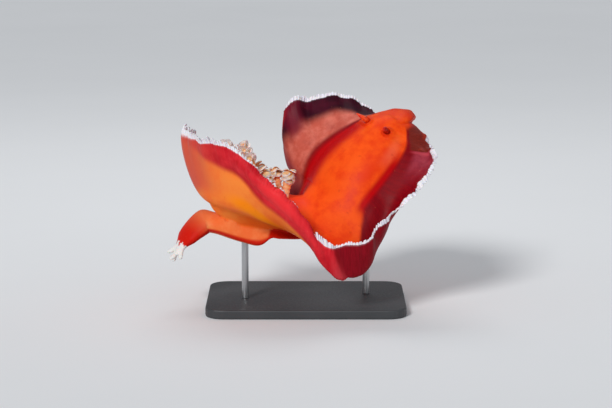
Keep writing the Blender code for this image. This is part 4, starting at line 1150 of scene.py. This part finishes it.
def make_body():
    """Skin, foot and tail lobes joined as one surface, with its masks carried over."""
    points, quads, table = build_skin()
    skin = mesh_piece("skin", points, quads)
    face_out(skin)
    foot_points, foot_faces, foot_facts, rows = build_foot()
    foot = mesh_piece("foot", foot_points, foot_faces)
    lobes = make_tail_lobes(rows)
    parts = [points, foot_points] + [pts for _, pts in lobes]
    union(skin, [foot] + [lobe for lobe, _ in lobes])
    mesh = skin.data
    mesh.name = "skin"
    near = nearest(to_world(np.concatenate(parts)) * MM, mesh_points(mesh))
    kinds = np.repeat([0, 1] + [2] * len(lobes), [len(pts) for pts in parts])
    kind = kinds[near]
    of_skin, of_foot = kinds == 0, kinds == 1

    def carried(where, values):
        """Values of some of the old points, and 0 for the rest, at the new points."""
        full = np.zeros((len(kinds), *np.shape(values)[1:]))
        full[where] = values
        return full[near]

    masks = masks_for(table)
    smoothed = carried(of_skin, masks.pop("smoothed"))
    for name, values in masks.items():
        put(mesh, name, carried(of_skin, values))
    theta = whole_waves(table["angle"], RIM_LENGTH)
    radius = RIM_LENGTH / (2 * math.pi)
    wound = np.stack([np.cos(theta) * radius, np.sin(theta) * radius, table["across"] * 6.0], axis=1)
    put_vector(mesh, "round", carried(of_skin, wound))
    along, aside = foot_facts.T
    # red along the foot's sides, and painted shade over its part ahead of the step, which lies under the
    # near margin
    edge = np.maximum(ramp(aside, 0.80, 1.0) * 0.9, ramp(along, 0.275, 0.30))
    put(mesh, "foot", kind > 0)
    put(mesh, "foot_tail", np.where(kind == 2, 1.0, carried(of_foot, ramp(-along, -0.05, 0.95))))
    put(mesh, "foot_edge_and_shade", carried(of_foot, edge))
    put(mesh, "white_tip", kind == 2)
    # Blend the foot into the body round their meeting line, and round off its elbow.
    ends = edges_of(mesh)
    band = np.zeros(len(kind))
    band[ends[:, kind[ends[0]] != kind[ends[1]]]] = 1.0
    for _ in range(BLEND_RINGS):
        grown = band.copy()
        np.maximum.at(grown, ends[0], band[ends[1]] * BLEND_FADE)
        np.maximum.at(grown, ends[1], band[ends[0]] * BLEND_FADE)
        band = grown
    soften(mesh, band, 34)
    soften(mesh, smoothed, 90)
    soften(mesh, carried(of_foot, bump_at(along, -0.03, 0.34)), 150)
    dress(skin, skin_material(), "back", *BODY_NODES)


def skin_material():
    """The skin's colours, laid over each other by the masks kept on the mesh."""
    n = Nodes("skin_look")
    here = n.here()
    around = n.attribute("round").outputs["Vector"]
    cloud = n.noise(here, 55.0, 4.0, 0.6)
    mottle = n.noise(here, 130.0, 4.0, 0.65)
    speck = n.noise(here, 420.0, 3.0, 0.6)
    ray = n.noise(around, 0.42, 4.0, 0.6)
    fine_ray = n.noise(around, 1.35, 3.0, 0.6)
    streaks = n.noise(n.stretched(here, (30.0, 30.0, 80.0), (0.0, 0.9, 0.5)), 1.0, 2.0, 0.5)
    patch = n.remap(cloud, 0.36, 0.66)
    blotch = n.remap(mottle, 0.35, 0.68)

    salmon = n.mix(blotch, "C85C4A", "D87462")
    salmon = n.mix(n.math("MULTIPLY", n.remap(cloud, 0.45, 0.8), 0.5), salmon, "983A34")
    crimson = n.mix(n.remap(cloud, 0.35, 0.65), "C01422", "DC2A34")
    crimson = n.mix(n.math("MULTIPLY", n.remap(ray, 0.45, 0.75), 0.25), crimson, "F04A50")
    foot = n.mix(patch, "EC6E34", "F08A50")
    # red foot sides, and painted shade on the foot ahead of its step
    foot = n.mix(n.mask("foot_edge_and_shade", 1.0, cloud, 0.4, 0.1, 0.9), foot, "C81C08")
    foot = n.mix(n.mask("foot_tail", 1.0, cloud, 0.3, 0.0, 0.95), foot, "CC1808")
    # painted shade: the valleys between the fringe's lobes turn lavender
    valley_shade = n.math("MULTIPLY", n.mask("valley_shade"), n.remap(mottle, 0.35, 0.65, 0.15, 0.75))
    white = n.mix(valley_shade, "F0ECF0", "A890B8")
    colour = n.mix(patch, "E83A08", "FA5810")
    # Mask, its colour and strength; then how far the cloud moves the mask's edge, and
    # the values that become 0 and 1.
    for name, tint, strength, *wander in (
        ("warm", "F83A14", 0.75),
        ("pink", "EE7050", 0.45),
        # deep red, partly the back's own and partly painted shade at its edges and in the root groove
        ("red_and_edge_shade", "BC0006", 1.0, 0.35, 0.05, 0.95),
        ("head_red", "C82A1A", 0.7),
        ("under", n.mix(patch, "F4712C", "FA8A38"), 1.0),
        ("crimson_in", n.mix(n.remap(ray, 0.3, 0.7), "7C0110", "8A0210"), 1.0),
        ("lilac", n.mix(n.remap(ray, 0.35, 0.65), "A88CA4", "D8C8D6"), 1.0),
        ("mauve", n.mix(blotch, "902A3A", "A83A48"), 1.0, 0.25, 0.0, 1.0),
        ("salmon", salmon, 1.0, 0.3, 0.05, 0.9),
        ("blood", "A00C12", 1.0, 0.4, 0.1, 0.9),
        ("maroon", n.mix(n.remap(streaks, 0.36, 0.64), "300416", "4C0A20"), 1.0, 0.25, 0.05, 0.95),
        ("wine", "7A1228", 0.8),
        # painted shade in the hollow beside the head
        ("shaded_hollow", n.mix(n.remap(fine_ray, 0.35, 0.65), "6A1E18", "80281E"), 1.0, 0.2, 0.1, 0.9),
        # painted highlight along that ridge
        ("ridge_highlight", "C04450", 0.7),
        ("glow", "E0401C", 0.8),
        ("rolled", "C8262A", 1.0),
        ("crimson", crimson, 1.0, 0.25, 0.05, 0.95),
        # painted highlight on the band
        ("band_highlight", "F8363A", 0.8),
        # painted shadow under the band
        ("crease_shadow_line", "A00A18", 0.55),
        ("dust", "CE4E40", 0.88, 0.4, 0.02, 0.85),
        ("streak", "FF8A08", 1.0, 0.4, 0.1, 0.9),
        # painted shade in the groove
        ("groove_shade", "E85A0C", 0.7),
        # painted shade past the front fold
        ("fold_shade", n.mix(n.remap(fine_ray, 0.3, 0.7), "7C0412", "8E0A1C"), 1.0),
        # painted highlight on the fold's crest
        ("crest_highlight", "CC444C", 0.6),
        # painted shade in the rhinophores' pits, fainter round their collars
        ("pit", "B81008", 0.9),
        ("foot_shade", "B01C0A", 0.8),
        ("foot", foot, 1.0),
        ("fringe", white, 1.0),
        ("white_tip", "E6E4E0", 1.0),
    ):
        colour = n.mix(n.mask(name, strength, cloud, *wander), colour, tint)
    freckles = n.remap(speck, 0.68, 0.80, 0.0, 0.14)
    colour = n.mix(freckles, colour, "FFB070")
    dots = n.remap(n.noise(here, 210.0, 1.0, 0.4), 0.70, 0.80, 0.0, 0.2)
    colour = n.mix(dots, colour, "A81404")
    n.paint(colour, n.remap(cloud, 0.3, 0.7, 0.40, 0.54))
    grain = n.noise(here, 900.0, 2.0, 0.5)
    height = n.math("ADD", n.math("MULTIPLY", grain, 0.5), n.math("MULTIPLY", fine_ray, 0.12))
    n.bump(height, 0.2, 0.0005)
    n.set(subsurface=0.15, scale=0.003, radius=(1.0, 0.35, 0.2), specular=0.08)
    return n.material


FIRM = {"subsurface": 0.25, "scale": 0.002, "radius": (1.0, 0.35, 0.2), "specular": 0.35}
DELICATE = {"subsurface": 0.5, "scale": 0.003, "radius": (1.0, 0.5, 0.35), "specular": 0.25}


def small_part_material(name, size, colours, rough, grain, depth, flesh=FIRM, edge=None):
    """Mottled wet flesh of a small part; edge is the colour of its leaves' edges."""
    n = Nodes(name)
    here = n.here()
    cloud = n.noise(here, size, 3.0)
    colour = n.mix(n.remap(cloud, 0.35, 0.65), *colours)
    if edge:
        colour = n.mix(n.remap(n.mask("edge"), 0.40, 0.95), colour, edge)
    n.paint(colour, n.remap(cloud, 0.3, 0.7, *rough))
    n.bump(n.noise(here, grain, 2.0), depth, 0.0003)
    n.set(**flesh)
    return n.material


def oral_material():
    return small_part_material(
        "oral_look", 220.0, ("D8300E", "F46A2C"), (0.38, 0.52), 1200.0, 0.25
    )


def join_lofts(name, parts):
    """One mesh from many closed pieces, each (points, faces, facts)."""
    points, faces, facts = [], [], []
    base = 0
    for pts, fcs, fact in parts:
        points.append(pts)
        faces += [[base + i for i in f] for f in fcs]
        facts.append(fact)
        base += len(pts)
    made = mesh_piece(name, np.concatenate(points), faces)
    return made, np.concatenate(facts)


def tube_along(path, radii, around, side_hint, flat=1.0):
    """Rings of points round a path."""
    path = np.asarray(path, float)
    ways = unit(np.gradient(path, axis=0))
    x_way = unit(side_hint - (side_hint @ ways[0]) * ways[0])
    rings = []
    turns = np.arange(around) * 2 * math.pi / around
    for spot, way, r in zip(path, ways, radii):
        x_way = unit(x_way - (x_way @ way) * way)
        y_way = np.cross(way, x_way)
        rings.append(
            spot + r * (np.cos(turns)[:, None] * x_way + flat * np.sin(turns)[:, None] * y_way)
        )
    return rings


def bow(start, end, bend, count):
    """Points from start to end along a line bowed out by bend at its middle."""
    t = np.linspace(0, 1, count)[:, None]
    return start * (1 - t) + end * t + bend * 4 * t * (1 - t)


def make_gills():
    """Six plumes: a thick ribbed stalk each, with broad frilled leaves all round its top."""
    source = np.random.default_rng(SEED + 5)
    parts = []
    centre = np.mean([dorsum(g[0], g[1])[0] for g in GILLS], axis=0)
    for gill, (share, side, across, away, up) in enumerate(GILLS):
        base, out = dorsum(share, side)
        tip = place((across, away, up))
        outward = unit(base - centre)
        path = bow(base - out * 2.0, tip, out * 3.0, GILL_RINGS)
        t = np.linspace(0, 1, GILL_RINGS)
        radii = GILL_STALKS[gill] + 0.5 * bump_at(t, 0.62, 0.4)
        radii = radii + 0.22 * np.cos(t * 2 * math.pi * GILL_RIBS)
        radii = radii * np.sqrt(np.clip(1.0 - np.clip((t - 0.75) / 0.26, 0, 1) ** 2, 0.01, 1.0))
        rings = tube_along(path, radii, 22, outward, 0.85)
        pts, faces = loft(rings)
        parts.append((pts, faces, np.zeros(len(pts))))
        upright, curl = GILL_HABIT[gill]
        for k in range(GILL_LEAVES):
            s = LEAVES_FROM + LEAVES_RUN * k / (GILL_LEAVES - 1)
            at = s * (GILL_RINGS - 1)
            i = min(GILL_RINGS - 2, int(at))
            root = path[i] + (path[i + 1] - path[i]) * (at - i)
            way = unit(path[min(GILL_RINGS - 1, i + 2)] - path[i - 2])
            across_way = unit(np.cross(way, outward))
            turn = math.radians(GOLDEN_TURN * k + source.uniform(-14.0, 14.0))
            aside = math.cos(turn) * across_way + math.sin(turn) * np.cross(across_way, way)
            last = ramp(s, 0.86, 0.97)
            lean = unit(aside * (1.0 - 0.6 * last) + way * (upright + 0.8 * last))
            length = LEAF_LENGTH * (1.0 - 0.25 * last) * source.uniform(0.85, 1.1)
            width = LEAF_WIDTH * source.uniform(0.85, 1.15)
            pts, faces, fact = frond(root, lean, way, length, width, curl * source.uniform(0.8, 1.2))
            parts.append((pts, faces, fact + 0.35 * (upright > 2.0)))
    gills, facts = join_lofts("gills", parts)
    put(gills.data, "edge", facts)
    look = small_part_material(
        "gill_look", 160.0, ("F8A468", "FFC494"), (0.35, 0.5), 1500.0, 0.25, DELICATE, "FFF2EC"
    )
    dress(gills, look, "gill", *[f"gill_{i + 1}" for i in range(len(GILLS))])


def frond(root, lean, way, length, width, curl):
    """A broad leaf that leaves along lean, bends back by curl in radians and has a
    ribbed, toothed edge. Returns points, faces and how near each point is to the edge."""
    across = unit(np.cross(lean, way))
    up = np.cross(across, lean)
    steps, wide = 26, 11
    u = np.linspace(0.0, 1.0, steps)
    bent = curl * u
    along = length * np.cumsum(np.cos(bent)) / steps
    back = -length * np.cumsum(np.sin(bent)) / steps
    spine = root + along[:, None] * lean + back[:, None] * up
    face = np.cos(bent)[:, None] * up + np.sin(bent)[:, None] * lean
    half = width * np.clip(0.30 + 1.1 * np.sin(math.pi * np.clip(u * 0.86, 0, 1)), 0, None)
    half = half * np.sqrt(np.clip(1.0 - np.clip((u - 0.8) / 0.2, 0, 1) ** 2, 0.04, 1.0))
    v = np.linspace(-1.0, 1.0, wide)
    wave = np.cos(u * 2 * math.pi * LEAF_TEETH)[:, None]
    teeth = 1.0 + 0.10 * wave * np.abs(v)[None, :] ** 2
    ribs = 0.16 * wave * np.abs(v)[None, :]
    cup = -0.28 * (half[:, None] * v[None, :] ** 2)
    middle = (
        spine[:, None] + across * (half[:, None] * v * teeth)[..., None]
        + face[:, None] * (cup + ribs)[..., None]
    )
    thick = 0.42 - 0.22 * np.abs(v)[None, :] + 0.5 * (1 - u)[:, None] * (1 - np.abs(v))[None, :]
    top = middle + face[:, None] * (thick / 2)[..., None]
    low = middle - face[:, None] * (thick / 2)[..., None]
    rings = np.concatenate([top, low[:, ::-1]], axis=1)
    points, faces = loft(rings)
    near = np.maximum(np.abs(v)[None, :] ** 1.5 * ramp(u, 0.15, 0.5)[:, None], u[:, None] ** 2)
    near = np.concatenate([near, near[:, ::-1]], axis=1).reshape(-1)
    return points, faces, np.concatenate([near, [0.0, 1.0]])


def horn(base, out, way, reach):
    """A rhinophore: an upright foot, then a leaning pointed club of many thin leaves."""
    path, radii = [], []
    for h in np.linspace(-2.0, reach, 200):
        path.append(base + out * min(h, RHINOPHORE_STEM) + way * max(0.0, h - RHINOPHORE_STEM))
        t = (h - CLUB_FROM) / (reach - CLUB_FROM)
        if t <= 0:
            radii.append(STEM_WIDE)
            continue
        club = CLUB_WIDE * (1.0 - t) ** 0.65 * min(1.0, 0.8 + 2.0 * t)
        leaf = 0.5 + 0.5 * math.cos(2 * math.pi * CLUB_LEAVES * t)
        radii.append(max(0.08, club - LEAF_CUT * leaf * (1 - t)))
    path = np.array(path)
    for _ in range(12):
        path[1:-1] = 0.5 * path[1:-1] + 0.25 * (path[:-2] + path[2:])
    return loft(tube_along(path, np.array(radii), 28, out))


def make_rhinophores():
    """The two horns on the head, each in its pit."""
    for name, side, way in RHINOPHORES:
        base, out = dorsum(RHINOPHORE_SHARE, side)
        way = unit(np.array(way, float))
        pts, faces = horn(base + out * 0.9, out, way, CLUB_TO[name])
        piece = mesh_piece(f"rhinophore_{name}_leaves", pts, faces)
        face_out(piece)
        look = small_part_material(
            f"rhinophore_{name}_look", 300.0, CLUB_COLOURS[name], (0.35, 0.5), 1600.0, 0.2
        )
        dress(piece, look, "rhinophore", f"rhinophore_{name}")


def pleated_rings(path, radii, around, pleats, depth, x_way, y_way):
    """Rings round a short straight tube with pleats along it."""
    turns = np.arange(around) * 2 * math.pi / around
    outward = np.cos(turns)[:, None] * x_way + np.sin(turns)[:, None] * y_way
    pleat = 1.0 + depth * np.cos(turns * pleats)
    return [spot + (r * pleat)[:, None] * outward for spot, r in zip(path, radii)]


def make_mouth():
    """Lips and the two broad lobed tentacles under the head."""
    source = np.random.default_rng(SEED + 9)
    base, out = underside(*MOUTH)
    _, forward, right, _ = frames(MOUTH[0])
    look = oral_material()
    # Lips: a short trunk turned in at its end.
    path, radii = [], []
    for t in np.linspace(0, 1, 24):
        path.append(base - out * 3.0 + out * 8.4 * t + forward * 3.0 * t * t)
        radii.append(4.1 - 1.1 * t * t)
    end = path[-1]
    for t in np.linspace(0, 1, 10)[1:]:
        path.append(end + out * 1.1 * math.sin(t * math.pi) - out * 2.0 * max(0, t - 0.5))
        radii.append(2.1 + 0.9 * math.cos(t * math.pi))
    radii[-1] = 0.4
    x_way = unit(forward - (forward @ out) * out)
    rings = pleated_rings(path, radii, 40, 10, 0.05, x_way * 0.85, np.cross(out, x_way))
    lips = mesh_piece("lips", *loft(rings))
    face_out(lips)
    dress(lips, look, "oral", "mouth")
    for name, sign in (("left", -1), ("right", 1)):
        base, out = underside(TENTACLE_SHARE, sign * TENTACLE_SIDE)
        tip = base + out * 9 + forward * 5 + right * sign * 5
        path = bow(base - out * 2.0, tip, out * 1.0, 20)
        radii = 3.2 + 1.9 * np.sin(math.pi * 0.62 * np.linspace(0, 1, 20))
        radii[-3:] *= (0.93, 0.8, 0.45)
        piece = mesh_piece(f"tentacle_{name}", *loft(tube_along(path, radii, 30, forward, 0.34)))
        face_out(piece)
        way = unit(path[-1] - path[-5])
        wide = unit(forward - (forward @ way) * way)
        flat = np.cross(way, wide)
        fingers = []
        for k in range(FINGERS):
            fan = 2.0 * k / (FINGERS - 1) - 1.0
            lean = unit(way + 1.1 * fan * wide + 0.25 * source.uniform(-1, 1) * flat)
            root = path[-3] - way * (1.0 + 2.0 * abs(fan)) + wide * fan * 3.6
            length = 5.2 * source.uniform(0.85, 1.1)
            shape = finger(root, lean, np.cross(lean, flat), length, 0.85, 0.7, 0 * way, source)
            fingers.append(mesh_piece(f"finger_{k}", *shape))
        union(piece, fingers)
        piece.data.name = piece.name
        dress(piece, look, "oral", f"oral_tentacle_{name}")


def make_papilla():
    """The short pleated tube in the middle of the gills."""
    base, out = dorsum(*PAPILLA)
    _, forward, right, _ = frames(PAPILLA[0])
    path, radii = [], []
    for t in np.linspace(0, 1, 22):
        path.append(base - out * 2.0 + out * 8.0 * t)
        radii.append(2.6 - 1.1 * t + 0.25 * bump_at(t, 0.95, 0.12))
    end = path[-1]
    for t in np.linspace(0, 1, 8)[1:]:
        path.append(end - out * 1.6 * max(0.0, t - 0.3))
        radii.append(1.55 * (1 - t) + 0.1)
    piece = mesh_piece("vent", *loft(pleated_rings(path, radii, 36, 9, 0.06, forward, right)))
    face_out(piece)
    dress(piece, oral_material(), "gill", "anal_papilla")


def dress_stand():
    """Materials for the CAD's own stand: a dark satin base and steel rods."""
    base = Nodes("stand_look")
    here = base.here()
    grain = base.noise(here, 900.0, 4.0, 0.7)
    cloud = base.noise(here, 18.0, 3.0)
    grey = base.mix(base.remap(cloud, 0.3, 0.7), (0.040, 0.042, 0.046), (0.052, 0.054, 0.058))
    base.paint(grey, base.remap(grain, 0.3, 0.7, 0.42, 0.58))
    base.bump(grain, 0.2, 0.0002)
    base.set(specular=0.4)
    rod = Nodes("rod_look")
    streak = rod.noise(rod.stretched(rod.here(), (900.0, 900.0, 12.0)), 1.0, 4.0, 0.6)
    steel = rod.mix(streak, (0.42, 0.43, 0.44), (0.56, 0.57, 0.58))
    rod.paint(steel, rod.remap(streak, 0.3, 0.7, 0.24, 0.4))
    rod.bump(streak, 0.15, 0.0001)
    rod.set(metallic=1.0)
    for node, look in (("stand_base", base), ("stand_rod_rear", rod), ("stand_rod_front", rod)):
        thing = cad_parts[node]
        thing.data.materials.clear()
        thing.data.materials.append(look.material)


def make_studio():
    """Pale floor, lights, and a camera that sees what the photo's camera saw."""
    bpy.ops.mesh.primitive_plane_add(size=60.0)
    floor = bpy.context.object
    floor.name = "floor"
    look = Nodes("floor_look")
    cloud = look.noise(look.here(), 3.0, 3.0)
    pale = look.mix(cloud, (0.80, 0.81, 0.82), (0.84, 0.85, 0.86))
    look.link(pale, look.shader.inputs["Base Color"])
    look.set(roughness=0.9, specular=0.1)
    floor.data.materials.append(look.material)

    bpy.context.scene.view_settings.view_transform = "Standard"
    world = bpy.data.worlds.new("studio")
    bpy.context.scene.world = world
    world.use_nodes = True
    sky = world.node_tree.nodes["Background"]
    sky.inputs["Color"].default_value = (0.78, 0.82, 0.88, 1.0)
    sky.inputs["Strength"].default_value = 0.36

    target = to_world(np.array([0.0, 0.0, 70.0])) * MM
    for name, kind, spot, size, power in (
        ("key", "SUN", (-0.60, -1.10, 0.95), 0.25, 2.0),
        ("fill", "AREA", (0.9, -0.8, 0.30), 0.7, 1.2),
        ("top", "AREA", (-0.1, 0.55, 1.1), 0.6, 3.0),
    ):
        light = bpy.data.lights.new(name, kind)
        if kind == "SUN":
            light.angle = size
        else:
            light.size = size
        light.energy = power
        lamp = bpy.data.objects.new(name, light)
        lamp.location = spot
        aim = Vector(np.array(target) - np.array(spot))
        lamp.rotation_euler = aim.to_track_quat("-Z", "Y").to_euler()
        bpy.context.scene.collection.objects.link(lamp)

    camera = bpy.data.cameras.new("camera")
    camera.sensor_fit = "HORIZONTAL"
    camera.sensor_width = SENSOR
    camera.lens = SENSOR * SIGHT_RANGE / (PHOTO[0] * PIXEL)
    camera.clip_start = 0.05
    camera.clip_end = 20.0
    eye = bpy.data.objects.new("camera", camera)
    eye.location = to_world(np.array([0.0, -SIGHT_RANGE, SIGHT_UP])) * MM
    eye.rotation_euler = (math.radians(90.0) - SIGHT_TILT, 0.0, 0.0)
    bpy.context.scene.collection.objects.link(eye)
    bpy.context.scene.camera = eye


make_studio()
make_body()
make_gills()
make_rhinophores()
make_mouth()
make_papilla()
dress_stand()
